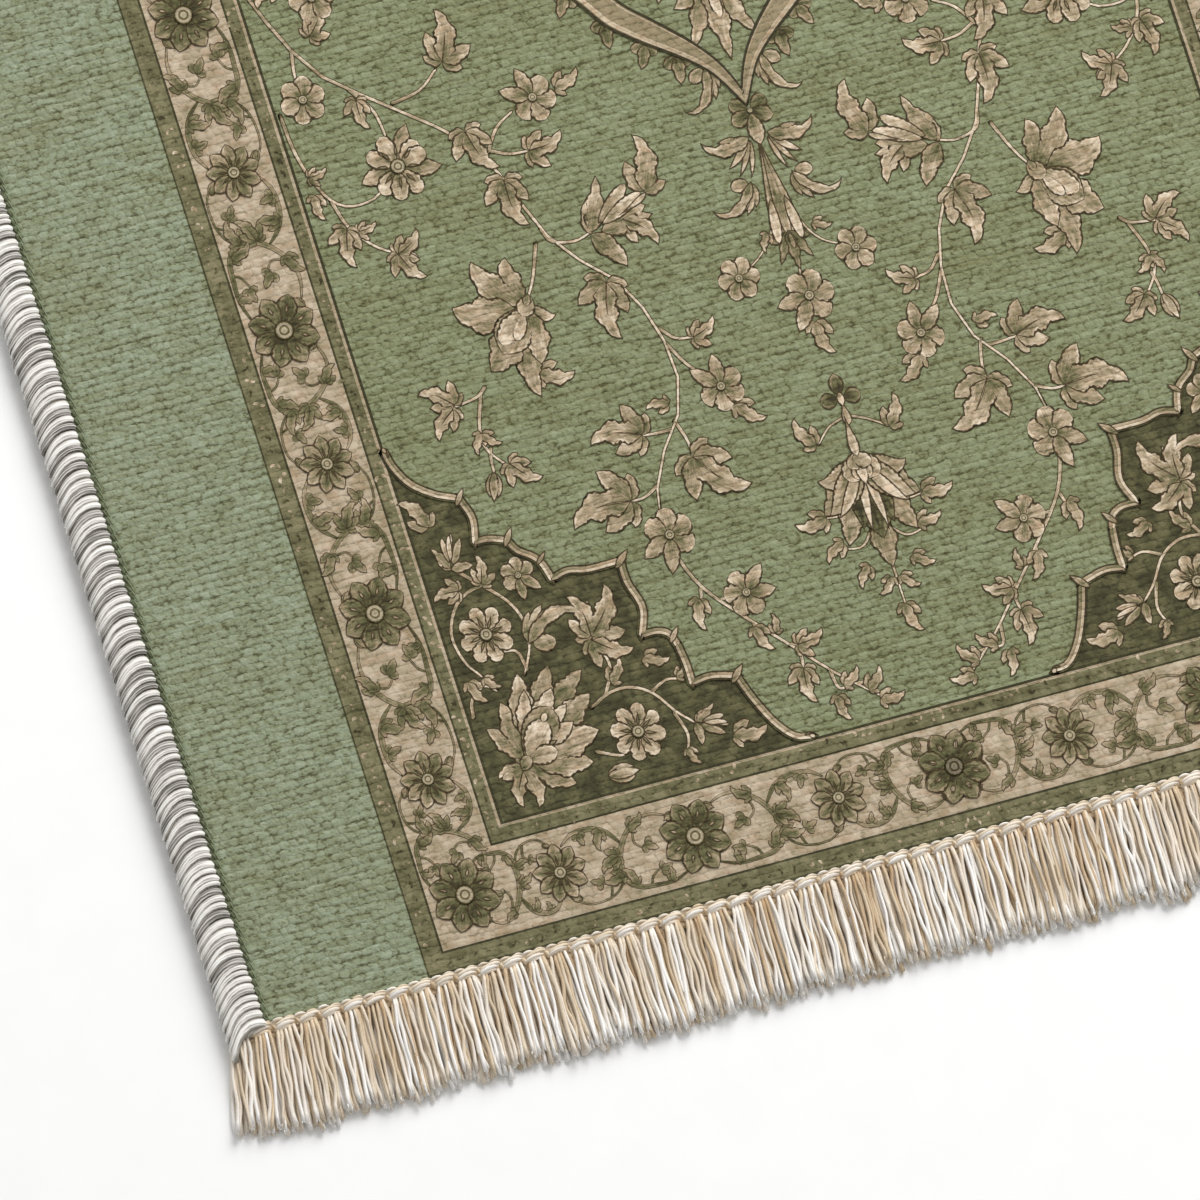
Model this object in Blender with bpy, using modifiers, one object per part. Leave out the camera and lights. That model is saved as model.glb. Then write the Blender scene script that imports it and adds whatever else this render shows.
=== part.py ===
"""Flat woven chenille rug: a rectangular cloth, a rounded yarn binding along each long
side and a knotted header with a fringe of locks along each short end.

Frame: metres, +Z up. The underside of the rug lies on z = 0, the middle of the cloth
is at x = y = 0, the rug's length runs along Y and its width along X."""

import math

import bmesh
import bpy
import numpy as np

# Driving dimensions, in metres.
RUG_WIDTH = 0.700  # over the two bindings
RUG_LENGTH = 1.200  # over the two fringes
CLOTH_THICKNESS = 0.006
CLOTH_EDGE_RADIUS = 0.0012
GAP = 0.0003  # between pieces that touch

BINDING_WIDTH = 0.019
BINDING_HEIGHT = 0.010
BINDING_LAP = 0.0057  # how far the binding reaches over the cloth
BINDING_LUMP = 0.00045  # how much the wrapped roll swells and narrows
BINDING_SECTIONS = 56

HEADER_DEPTH = 0.007  # of the knotted strip, across its length
HEADER_VALLEY = 0.0046  # height between two knots
HEADER_KNOT = 0.0062  # height of a knot
HEADER_END_HEIGHT = 0.0050  # height of a knot that lies under the binding's end

FRINGE_LENGTH = 0.047
LOCKS_PER_END = 66
LOCK_ROOT_SHARE = 0.64  # width of a lock's root, as a share of the pitch
LOCK_LEAN = 0.0016  # how far a lock's tip leans sideways at most
LOCK_RAGGED = 0.0035  # how much shorter the shortest lock is

# Values that follow from them.
CLOTH_LENGTH = RUG_LENGTH - 2 * (FRINGE_LENGTH + HEADER_DEPTH)
CLOTH_END = CLOTH_LENGTH / 2
CLOTH_WIDTH = RUG_WIDTH - 2 * (BINDING_WIDTH - BINDING_LAP + GAP)
HEADER_WIDTH = RUG_WIDTH - 0.002
LOCK_PITCH = HEADER_WIDTH / LOCKS_PER_END
HEADER_START = CLOTH_END + GAP
HEADER_END = CLOTH_END + HEADER_DEPTH
LOCK_LENGTH = RUG_LENGTH / 2 - HEADER_END

# Section of the binding: share of its width, counted inwards from the rug's outer side,
# and share of its height. The lap lies over the cloth's edge.
LAP_START = 1 - BINDING_LAP / BINDING_WIDTH
LAP_UNDERSIDE = (CLOTH_THICKNESS + GAP) / BINDING_HEIGHT
BINDING_PROFILE = (
    (0.14, 0.00),
    (LAP_START, 0.00),
    (LAP_START, LAP_UNDERSIDE),
    (0.955, LAP_UNDERSIDE),
    (1.00, 0.74),
    (0.93, 0.89),
    (0.78, 0.98),
    (0.58, 1.00),
    (0.36, 0.96),
    (0.17, 0.83),
    (0.045, 0.62),
    (0.00, 0.38),
    (0.04, 0.16),
)

# Section of the header strip: share of its depth, counted outwards from the cloth, and
# share of its height. A lock grows out of the side between the last two but one.
HEADER_PROFILE = (
    (0.00, 0.00),
    (1.00, 0.00),
    (1.00, 0.20),
    (1.00, 0.74),
    (0.70, 1.00),
    (0.28, 0.98),
    (0.00, 0.72),
)
ROOT_LOW = 2  # the root's side of the profile starts at this point

# Sections of a lock: share of its length, share of the pitch that it is wide, height of
# its underside and of its top in metres.
LOCK_SECTIONS = (
    (0.13, 0.70, 0.0, 0.0050),
    (0.38, 0.80, 0.0, 0.0048),
    (0.70, 0.85, 0.0, 0.0040),
    (1.00, 0.74, 0.0, 0.0022),
)

CLOTH_COLOUR = "#87886c"
BINDING_COLOUR = "#c9c5bd"
FRINGE_COLOUR = "#cdbfab"
YARN_ROUGHNESS = 0.9


def linear(hex_colour):
    """The scene-linear RGBA of an sRGB hex colour."""
    channels = [int(hex_colour[i : i + 2], 16) / 255 for i in (1, 3, 5)]
    curve = [c / 12.92 if c <= 0.04045 else ((c + 0.055) / 1.055) ** 2.4 for c in channels]
    return (*curve, 1.0)


def uneven(index, step):
    """A repeatable value between -1 and 1 that looks random from one index to the next."""
    return math.sin(index * step) * math.cos(index * step * 0.37 + 1.3)


def clear_scene():
    for obj in list(bpy.data.objects):
        bpy.data.objects.remove(obj, do_unlink=True)


def yarn_material(name, hex_colour):
    material = bpy.data.materials.new(name)
    material.use_nodes = True
    shader = material.node_tree.nodes["Principled BSDF"]
    shader.inputs["Base Color"].default_value = linear(hex_colour)
    shader.inputs["Roughness"].default_value = YARN_ROUGHNESS
    shader.inputs["Metallic"].default_value = 0.0
    return material


def add_object(name, mesh, material, collection):
    obj = bpy.data.objects.new(name, mesh)
    if not mesh.materials:
        mesh.materials.append(material)
    collection.objects.link(obj)
    return obj


def mesh_from_bmesh(name, bm):
    bmesh.ops.recalc_face_normals(bm, faces=bm.faces)
    mesh = bpy.data.meshes.new(name)
    bm.to_mesh(mesh)
    bm.free()
    return mesh


def loft(bm, rings):
    """Joins equal rings of points into one closed body. Returns its side faces, one row
    of them for each pair of rings."""
    loops = [[bm.verts.new(point) for point in ring] for ring in rings]
    rows = []
    for one, two in zip(loops, loops[1:]):
        turn = range(len(one))
        rows.append([bm.faces.new((one[i - 1], one[i], two[i], two[i - 1])) for i in turn])
    bm.faces.new(loops[0])
    bm.faces.new(reversed(loops[-1]))
    return rows


def make_cloth(collection):
    """One slab with a softened rim: the sewn-in ends and sides stay under the trims."""
    bm = bmesh.new()
    bmesh.ops.create_cube(bm, size=1.0)
    bmesh.ops.scale(bm, vec=(CLOTH_WIDTH, CLOTH_LENGTH, CLOTH_THICKNESS), verts=bm.verts)
    bmesh.ops.translate(bm, vec=(0, 0, CLOTH_THICKNESS / 2), verts=bm.verts)
    cloth = add_object(
        "cloth", mesh_from_bmesh("cloth", bm), yarn_material("cloth", CLOTH_COLOUR), collection
    )
    rim = cloth.modifiers.new("soft_rim", "BEVEL")
    rim.width = CLOTH_EDGE_RADIUS
    rim.segments = 2
    return cloth


def binding_ring(y, swell, under):
    """The binding's outline at y: swell widens it, and under is its lowest height."""
    ring = []
    for across, up in BINDING_PROFILE:
        outer_side = max(0.0, 0.5 - across) * 2
        x = -RUG_WIDTH / 2 + BINDING_WIDTH * across - swell * outer_side
        z = BINDING_HEIGHT * up + swell * max(0.0, up - LAP_UNDERSIDE) * 2
        ring.append((x, y, max(z, under)))
    return ring


def end_ring(y, shrink):
    """The outline of the binding's end, which lies on the header's end and rounds off."""
    under = HEADER_END_HEIGHT + GAP
    middle = (BINDING_HEIGHT + under) / 2
    ring = []
    for x, _, z in binding_ring(y, 0.0, under):
        centre = -RUG_WIDTH / 2 + BINDING_WIDTH / 2
        drop = (z - middle) * shrink if z > middle else 0.0
        ring.append((centre + (x - centre) * (1 - shrink * 0.6), y, z - drop))
    return ring


def make_bindings(collection):
    """A wrapped roll along each long side, a little uneven, lapped over the cloth's edge.
    At both ends it runs on over the ends of the header, and rounds off there."""
    rings = []
    for y in np.linspace(-CLOTH_END, CLOTH_END, BINDING_SECTIONS):
        swell = BINDING_LUMP * (uneven(y * 400, 1.0) - 1.0) / 2
        rings.append(binding_ring(float(y), swell, 0.0))
    step = GAP  # the roll steps up onto the header within this length
    first = [end_ring(-HEADER_END, 0.75), end_ring(-HEADER_END + 0.003, 0.25)]
    first.append(end_ring(-CLOTH_END - step, 0.0))
    last = [[(x, -y, z) for x, y, z in ring] for ring in reversed(first)]

    bm = bmesh.new()
    loft(bm, first + rings + last)
    mesh = mesh_from_bmesh("binding", bm)
    material = yarn_material("binding", BINDING_COLOUR)
    add_object("binding_left", mesh, material, collection)
    right = add_object("binding_right", mesh, material, collection)
    right.rotation_euler.z = math.pi


def header_ring(x, height):
    ring = []
    for outward, up in HEADER_PROFILE:
        y = -HEADER_START - (HEADER_END - HEADER_START) * outward
        ring.append((x, y, height * up))
    return ring


def lock_middle(lock):
    return -HEADER_WIDTH / 2 + LOCK_PITCH * (lock + 0.5)


def place_lock_section(face, section):
    """Moves one end face of a lock to its place along the lock."""
    along, wide, low, top = section
    centre = face.calc_center_median()
    lock = math.floor((centre.x + HEADER_WIDTH / 2) / LOCK_PITCH)
    lean = LOCK_LEAN * (0.75 * math.sin(lock * 0.45) + 0.25 * uneven(lock, 2.1)) * along**1.5
    length = LOCK_LENGTH - LOCK_RAGGED * (uneven(lock, 1.7) + 1) / 2
    middle = lock_middle(lock)
    half = LOCK_PITCH * wide / 2
    for vert in face.verts:
        side = 1 if vert.co.x > centre.x else -1
        vert.co.z = top if vert.co.z > centre.z else low
        vert.co.x = middle + side * half + lean
        vert.co.y = -HEADER_END - length * along


def make_fringes(collection):
    """At each short end a knotted header strip, one knot to a lock, with the locks grown
    out of it: they lie level on the floor, side by side and apart."""
    rings = []
    root = LOCK_PITCH * LOCK_ROOT_SHARE / 2
    under_binding = RUG_WIDTH / 2 - BINDING_WIDTH
    for lock in range(LOCKS_PER_END):
        middle = lock_middle(lock)
        knot = HEADER_KNOT * (1 + 0.05 * uneven(lock, 3.3))
        if abs(middle) > under_binding - LOCK_PITCH / 2:
            knot = HEADER_END_HEIGHT
        valley = min(HEADER_VALLEY, knot)
        rings.append(header_ring(middle - LOCK_PITCH / 2, valley))
        rings.append(header_ring(middle - root, knot))
        rings.append(header_ring(middle + root, knot))
    rings.append(header_ring(HEADER_WIDTH / 2, min(HEADER_VALLEY, HEADER_END_HEIGHT)))

    bm = bmesh.new()
    rows = loft(bm, rings)
    ends = [rows[3 * lock + 1][ROOT_LOW + 1] for lock in range(LOCKS_PER_END)]
    for section in LOCK_SECTIONS:
        ends = bmesh.ops.extrude_discrete_faces(bm, faces=ends)["faces"]
        for face in ends:
            place_lock_section(face, section)
    mesh = mesh_from_bmesh("fringe", bm)
    material = yarn_material("fringe", FRINGE_COLOUR)
    add_object("fringe_front", mesh, material, collection)
    back = add_object("fringe_back", mesh, material, collection)
    back.rotation_euler.z = math.pi


def main():
    clear_scene()
    collection = bpy.data.collections.new("chenille_rug")
    bpy.context.scene.collection.children.link(collection)
    make_cloth(collection)
    make_bindings(collection)
    make_fringes(collection)


main()
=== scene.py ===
# Chenille rug with overcast side bindings and knotted end fringes: looks, light and camera.
import functools
import math

import bpy
import numpy as np
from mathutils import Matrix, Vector


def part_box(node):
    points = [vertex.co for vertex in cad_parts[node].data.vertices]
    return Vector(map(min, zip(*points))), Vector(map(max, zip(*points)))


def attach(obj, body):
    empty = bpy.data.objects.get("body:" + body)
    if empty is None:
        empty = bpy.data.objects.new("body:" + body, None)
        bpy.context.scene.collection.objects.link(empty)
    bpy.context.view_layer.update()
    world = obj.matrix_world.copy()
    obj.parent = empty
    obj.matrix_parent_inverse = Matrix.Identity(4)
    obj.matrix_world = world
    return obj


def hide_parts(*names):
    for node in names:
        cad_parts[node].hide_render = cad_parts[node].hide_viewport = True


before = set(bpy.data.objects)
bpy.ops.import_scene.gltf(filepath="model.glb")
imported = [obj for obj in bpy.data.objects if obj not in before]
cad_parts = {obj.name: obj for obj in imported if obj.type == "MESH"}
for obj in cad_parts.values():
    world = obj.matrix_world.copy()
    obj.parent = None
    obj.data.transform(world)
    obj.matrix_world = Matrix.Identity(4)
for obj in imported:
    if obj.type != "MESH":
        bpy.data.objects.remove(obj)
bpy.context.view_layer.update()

mm = 0.001


def toLinear(hexColour):
    # sRGB hex to linear RGBA: v/12.92 near black, ((v + 0.055) / 1.055) ^ 2.4 above it
    values = [int(hexColour[i:i + 2], 16) / 255 for i in (1, 3, 5)]
    return tuple(v / 12.92 if v < 0.04045 else ((v + 0.055) / 1.055) ** 2.4 for v in values) + (1.0,)


def addNode(tree, kind, *inputs, stops=(), **named):
    # one node: kind may name its operation after a dot, lower-case names are plain settings, and the
    # inputs come by place (None skips one, a dictionary holds places) or by capital name, as values,
    # sockets or other nodes
    kind, _, operation = kind.partition(".")
    node = tree.nodes.new("ShaderNode" + kind)
    if operation:
        node.operation = operation
    given = inputs[0] if inputs and isinstance(inputs[0], dict) else dict(enumerate(inputs))
    for key, value in named.items():
        if key[0].islower():
            setattr(node, key, value)
        else:
            given[key.replace("_", " ")] = value
    for key, value in given.items():
        if isinstance(value, bpy.types.Node):
            value = value.outputs[0]
        if isinstance(value, bpy.types.NodeSocket):
            tree.links.new(value, node.inputs[key])
        elif value is not None:
            node.inputs[key].default_value = value
    for i, (position, hexColour) in enumerate(stops):
        if i == len(node.color_ramp.elements):
            node.color_ramp.elements.new(1.0)
        node.color_ramp.elements[i].position = position
        node.color_ramp.elements[i].color = toLinear(hexColour)
    return node


def newMaterial(name):
    # an empty material, and addNode for its own tree
    material = bpy.data.materials.new(name)
    material.use_nodes = True
    material.node_tree.nodes.clear()
    return material, functools.partial(addNode, material.node_tree)


def drawnOut(add, place, stretch, detail):
    # noise drawn out one way: the place is multiplied by the stretch, the larger the finer
    return add("TexNoise", Vector=add("VectorMath.MULTIPLY", place, stretch), Scale=1.0, Detail=detail,
               Roughness=0.6, noise_dimensions="2D")


def fibreSurface(add, colour, height, bump, roughness, specular, sheen=0.0, sheenRoughness=0.5):
    # matt fibre: height times bump in metres lifts it, highlights are weak and sheen is a soft bloom at
    # the edges
    raised = add("Bump", Height=height, Distance=bump)
    shader = add("BsdfPrincipled", Base_Color=colour, Roughness=roughness, Specular_IOR_Level=specular,
                 Sheen_Weight=sheen, Sheen_Roughness=sheenRoughness, Normal=raised)
    add("OutputMaterial", Surface=shader)


def meshPiece(name, points, faces, material, attributes=None, loopUv=None, smooth=True):
    # points (n, 3) and a list of face index arrays, all faces of one array with as many corners; z at
    # least 0
    mesh = bpy.data.meshes.new(name)
    points = np.concatenate([points[:, :2], np.maximum(points[:, 2:], 0)], 1)
    loops = np.concatenate([f.reshape(-1) for f in faces]).astype(np.int32)
    totals = np.concatenate([np.full(len(f), f.shape[1]) for f in faces]).astype(np.int32)
    starts = (np.cumsum(totals) - totals).astype(np.int32)
    mesh.vertices.add(len(points))
    mesh.vertices.foreach_set("co", np.asarray(points, np.float32).reshape(-1))
    mesh.loops.add(len(loops))
    mesh.loops.foreach_set("vertex_index", loops)
    mesh.polygons.add(len(totals))
    mesh.polygons.foreach_set("loop_start", starts)
    mesh.polygons.foreach_set("loop_total", totals)
    mesh.update(calc_edges=True)
    mesh.validate()
    mesh.polygons.foreach_set("use_smooth", np.full(len(totals), smooth))
    for key, values in (attributes or {}).items():
        layer = mesh.attributes.new(key, "FLOAT", "POINT")
        layer.data.foreach_set("value", np.asarray(values, np.float32).reshape(-1))
    if loopUv is not None:
        layer = mesh.uv_layers.new(name="yarnUv")
        layer.data.foreach_set("uv", np.asarray(loopUv, np.float32).reshape(-1))
    mesh.materials.append(material)
    piece = bpy.data.objects.new(name, mesh)
    bpy.context.scene.collection.objects.link(piece)
    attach(piece, "root")
    return piece


def tubeRows(paths, radii, sides, reference, closed=False, flatten=1.0):
    # points: path + radius * (cos * side + sin * up); side = tangent x reference, up = side x tangent.
    # Quads join ring to ring; an open tube has a face at each end. UV is (along, around) in metres.
    count, steps = paths.shape[:2]
    if closed:
        tangent = np.roll(paths, -1, 1) - np.roll(paths, 1, 1)
    else:
        tangent = np.gradient(paths, axis=1)
    tangent /= np.linalg.norm(tangent, axis=2, keepdims=True)
    side = np.cross(tangent, np.asarray(reference, float))
    side /= np.linalg.norm(side, axis=2, keepdims=True)
    up = np.cross(side, tangent)
    turn = 2 * np.pi * np.arange(sides) / sides
    ring = np.cos(turn)[:, None] * side[:, :, None] + flatten * np.sin(turn)[:, None] * up[:, :, None]
    points = paths[:, :, None] + radii[:, :, None, None] * ring
    index = np.arange(count * steps * sides).reshape(count, steps, sides)
    onward = np.roll(index, -1, 1)
    stop = steps if closed else steps - 1
    corners = [index, onward, np.roll(onward, -1, 2), np.roll(index, -1, 2)]
    quads = np.stack([c[:, :stop] for c in corners], -1).reshape(-1, 4)
    spacing = np.linalg.norm(np.diff(paths, axis=1, append=paths[:, :1]), axis=2)
    along = np.concatenate([np.zeros((count, 1)), np.cumsum(spacing, 1)], 1)[:, :steps + 1]
    around = 2 * np.pi * radii.mean() * np.arange(sides + 1) / sides
    shape = (count, stop, sides)
    a0, a1 = (np.broadcast_to(along[:, k:stop + k, None], shape) for k in (0, 1))
    r0, r1 = (np.broadcast_to(around[k:sides + k], shape) for k in (0, 1))
    corners = [np.stack(pair, -1) for pair in ((a0, r0), (a1, r0), (a1, r1), (a0, r1))]
    uv = np.stack(corners, 3).reshape(-1, 2)
    faces = [quads]
    if not closed:
        caps = np.concatenate([index[:, 0], index[:, -1, ::-1]])
        faces.append(caps)
        ends = np.concatenate([along[:, 0], along[:, steps - 1]])
        uv = np.concatenate([uv, np.stack([np.repeat(ends, sides), np.zeros(len(caps) * sides)], -1)])
    return points.reshape(-1, 3), faces, uv


def joined(parts):
    # several (points, faces, extra) made one: the later faces count on from the earlier points
    firsts = np.cumsum([0] + [len(part[0]) for part in parts])
    faces = [f + first for part, first in zip(parts, firsts) for f in part[1]]
    return np.concatenate([part[0] for part in parts]), faces, np.concatenate([part[2] for part in parts])


def turned(part):
    # half a turn about Z, which keeps faces outward
    return part[0] * np.array([-1, -1, 1]), part[1], part[2]


# camera, light and floor
studio = {
    "elevation": 65.6,      # degrees above the floor
    "heading": 16.4,        # degrees that the view turns from +Y towards +X
    "target": (-0.1291, -0.3899, 0.006),
    "distance": 15.0,
    "lens": 1002.0,
    "worldStrength": 0.5,
    "keyPower": 290.0,
    "keySize": 3.4,
    "keyPlace": (2.35, 2.85, 3.0),
    "keyAim": (0, -0.2, 0),
    "floorHalf": 6.0,
    "floorDepth": 0.0002,   # the floor lies this far under the rug
    "floorColours": ("#f8f8f7", "#fafaf9"),
}


def aimed(piece, direction):
    # turns a camera or a lamp so that it looks along the direction, upright
    piece.rotation_euler = direction.to_track_quat("-Z", "Y").to_euler()
    bpy.context.scene.collection.objects.link(piece)


def buildStudio():
    # forward = (cos lift * sin heading, cos lift * cos heading, -sin lift), from the camera to its target
    scene = bpy.context.scene
    scene.view_settings.view_transform = "Standard"
    lift = math.radians(studio["elevation"])
    heading = math.radians(studio["heading"])
    forward = Vector((math.cos(lift) * math.sin(heading), math.cos(lift) * math.cos(heading),
                      -math.sin(lift)))
    camera = bpy.data.objects.new("camera", bpy.data.cameras.new("camera"))
    camera.data.lens = studio["lens"]
    camera.data.sensor_width = 36.0
    camera.data.clip_end = 50
    camera.location = Vector(studio["target"]) - forward * studio["distance"]
    aimed(camera, forward)
    scene.camera = camera
    world = bpy.data.worlds.new("paleStudio")
    world.use_nodes = True
    world.node_tree.nodes["Background"].inputs["Color"].default_value = (1, 1, 1, 1)
    world.node_tree.nodes["Background"].inputs["Strength"].default_value = studio["worldStrength"]
    scene.world = world
    key = bpy.data.objects.new("softKey", bpy.data.lights.new("softKey", "AREA"))
    key.data.energy = studio["keyPower"]
    key.data.size = studio["keySize"]
    key.location = studio["keyPlace"]
    aimed(key, Vector(studio["keyAim"]) - key.location)
    # painted studio floor: even, matt and pale
    material, add = newMaterial("mattPaintedFloor")
    grain = add("TexNoise", Vector=add("TexCoord").outputs["Object"], Scale=40.0, Detail=3.0)
    tone = add("ValToRGB", Fac=grain, stops=list(zip((0.3, 0.7), studio["floorColours"])))
    shader = add("BsdfPrincipled", Base_Color=tone, Roughness=0.9, Specular_IOR_Level=0.1)
    add("OutputMaterial", Surface=shader)
    side = studio["floorHalf"]
    square = ((-side, -side), (side, -side), (side, side), (-side, side))
    mesh = bpy.data.meshes.new("floor")
    mesh.from_pydata([(x, y, -studio["floorDepth"]) for x, y in square], [], [(0, 1, 2, 3)])
    mesh.materials.append(material)
    floor = bpy.data.objects.new("floor", mesh)
    scene.collection.objects.link(floor)
    print("studio: camera, soft key and pale floor")


buildStudio()


# the woven ground
weave = {
    "rowPitch": 4.0 * mm,       # chenille weft rows, across the width
    "knobWidth": 4.5 * mm,      # from warp to warp along a row
    "rowDepth": 0.18 * mm,      # how deep the valley between two rows is
    "roundness": 0.97,          # 1 makes the rows full half-rounds
    "knobDepth": 0.42 * mm,
    "feltedShare": 0.3,         # knobs felted together keep this share of their depth
    "wander": (7.0 * mm, 3.4 * mm, 0),
    "gapShares": (0.6, 0.8),    # how deep the gaps along a row and between two rows are
    "gapPowers": (2.6, 3.0),    # the higher, the narrower the gap
    "pileHeight": 0.3 * mm,
    "streakHeight": 0.28 * mm,
    "samplesPerRow": 6,
    "columns": 12,
}


def chenilleWeave(add, ribs):
    # a knob is a soft dome over one cell of rowPitch by knobWidth, shifted each row and wandering a
    # little: height = knobDepth * (1 - share * columnGap) * (1 - share * rowGap) + pile + streaks, where
    # a gap is (1 - 2 d)^power, d from 0 on its middle line to 0.5 in the middle of a knob
    place = add("TexCoord").outputs["Object"]
    wander = add("TexNoise", Vector=place, Scale=150.0, Detail=4.0, Roughness=0.6, noise_dimensions="2D")
    centred = add("VectorMath.SUBTRACT", wander.outputs["Color"], (0.5, 0.5, 0.5))
    moved = add("VectorMath.MULTIPLY_ADD", centred, weave["wander"], place)
    cell = add("VectorMath.DIVIDE", moved, (weave["knobWidth"], weave["rowPitch"], 1))
    apart = add("SeparateXYZ", cell)
    row = add("Math.FLOOR", apart.outputs["Y"])
    rowTone = add("TexWhiteNoise", W=row, noise_dimensions="1D")
    shifted = add("Math.MULTIPLY_ADD", row, 0.5, apart.outputs["X"])
    shifted = add("Math.MULTIPLY_ADD", rowTone, 0.35, shifted)
    corner = add("CombineXYZ", add("Math.FLOOR", shifted), row)
    knobTone = add("TexWhiteNoise", Vector=corner, noise_dimensions="2D")
    gaps = []
    sides = []
    for source, power, share in zip((shifted, apart.outputs["Y"]), weave["gapPowers"], weave["gapShares"]):
        away = add("Math.MULTIPLY_ADD", add("Math.PINGPONG", source, 0.5), -2.0, 1.0)
        gaps.append(add("Math.POWER", away, power))
        sides.append(add("Math.MULTIPLY_ADD", gaps[-1], -share, 1.0))
    # some knobs are felted together: their dome is much lower
    felted = add("TexNoise", Vector=place, Scale=75.0, Detail=3.0, Roughness=0.6, noise_dimensions="2D")
    lift = add("MapRange", felted, 0.3, 0.55, weave["feltedShare"] * weave["knobDepth"], weave["knobDepth"])
    height = add("Math.MULTIPLY", add("Math.MULTIPLY", *sides), lift)
    if ribs:
        # the same half-round rows as the cloth's own geometry: depth * sqrt(1 - r^2), r from the row's
        # middle
        turns = add("Math.DIVIDE", add("SeparateXYZ", place).outputs["Y"], weave["rowPitch"])
        away = add("Math.MULTIPLY_ADD", add("Math.PINGPONG", turns, 0.5), -2 * weave["roundness"],
                   weave["roundness"])
        half = add("Math.SQRT", add("Math.SUBTRACT", 1.0, add("Math.MULTIPLY", away, away)))
        height = add("Math.MULTIPLY_ADD", half, weave["rowDepth"], height)
    pile = add("TexNoise", Vector=place, Scale=900.0, Detail=4.0)
    streak = drawnOut(add, place, (70, 420, 1), 4.0)
    height = add("Math.MULTIPLY_ADD", pile, weave["pileHeight"], height)
    height = add("Math.MULTIPLY_ADD", streak, weave["streakHeight"], height)
    return {"height": height, "columnGap": gaps[0], "rowGap": gaps[1], "knob": knobTone, "streak": streak,
            "pile": pile, "place": place}


def wovenTone(add, parts):
    # tone = 0.12 knob + 0.5 streak + 0.5 pile - the gaps, painted shade between the knobs that shows
    # only in patches, - flecks, made 0 to 1
    patchy = drawnOut(add, parts["place"], (150, 300, 1), 3.0)
    mask = add("MapRange", patchy, 0.42, 0.62, 0.04, 0.85)
    # painted shade in the gaps between the knobs, darkest where two gaps cross
    inner = add("Math.MULTIPLY_ADD", parts["columnGap"], 1.4, 0.5)
    cross = add("Math.MULTIPLY", inner, parts["rowGap"])
    both = add("Math.MULTIPLY_ADD", parts["columnGap"], 0.45, cross)
    dark = add("Math.MULTIPLY", both, mask)
    # short dark flecks lie along the rows where the pile parts
    fleck = add("MapRange", drawnOut(add, parts["place"], (240, 560, 1), 2.0), 0.56, 0.74)
    total = add("Math.MULTIPLY", parts["knob"], 0.12)
    for source, share in ((parts["streak"], 0.5), (parts["pile"], 0.5), (dark, -0.5), (fleck, -0.34)):
        total = add("Math.MULTIPLY_ADD", source, share, total)
    return add("MapRange", total, 0.12, 0.82)


clothLook = {
    "stops": [(0.0, "#585940"), (0.32, "#7a7f60"), (0.62, "#8d967c"), (1.0, "#a2ac95")],
    # weft yarns that took the dye browner: stretch, from, to, share
    "brownYarns": [((7, 30, 1), 0.46, 0.72, 0.32), ((24, 190, 1), 0.5, 0.72, 0.26)],
    "brown": "#dac69e",
    # x from and to, share there and beyond, tint: inside the side borders, and painted shade in the
    # groove where the cloth meets the binding roll
    "zones": [(253.7 * mm, 255.7 * mm, 1.0, 0.0, "#f0eddd"), (327 * mm, 332 * mm, 0.0, 0.75, "#6f7a5c")],
}


def chenilleCloth():
    # woven chenille: short velvety pile on thick weft rows, matt with a soft bloom of sheen; single
    # weft yarns took the dye browner, the cloth beyond the side borders is cooler, and the colour
    # carries painted shade in the gaps between the knobs and beside the bindings
    material, add = newMaterial("wovenChenille")
    parts = chenilleWeave(add, False)
    dyeAndPaintedShade = add("ValToRGB", Fac=wovenTone(add, parts), stops=clothLook["stops"]).outputs[0]
    aside = add("Math.ABSOLUTE", add("SeparateXYZ", parts["place"]).outputs["X"])
    tints = [(add("MapRange", drawnOut(add, parts["place"], stretch, 4.0), low, high, None, share),
              clothLook["brown"]) for stretch, low, high, share in clothLook["brownYarns"]]
    tints += [(add("MapRange", aside, *reach), tint) for *reach, tint in clothLook["zones"]]
    for share, tint in tints:
        dyeAndPaintedShade = add("Mix", {0: share, 6: dyeAndPaintedShade, 7: toLinear(tint)}, data_type="RGBA",
                   blend_type="MULTIPLY").outputs[2]
    fibreSurface(add, dyeAndPaintedShade, parts["height"], bump=1.0, roughness=0.92, specular=0.15, sheen=0.1,
                 sheenRoughness=0.6)
    return material


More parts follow.
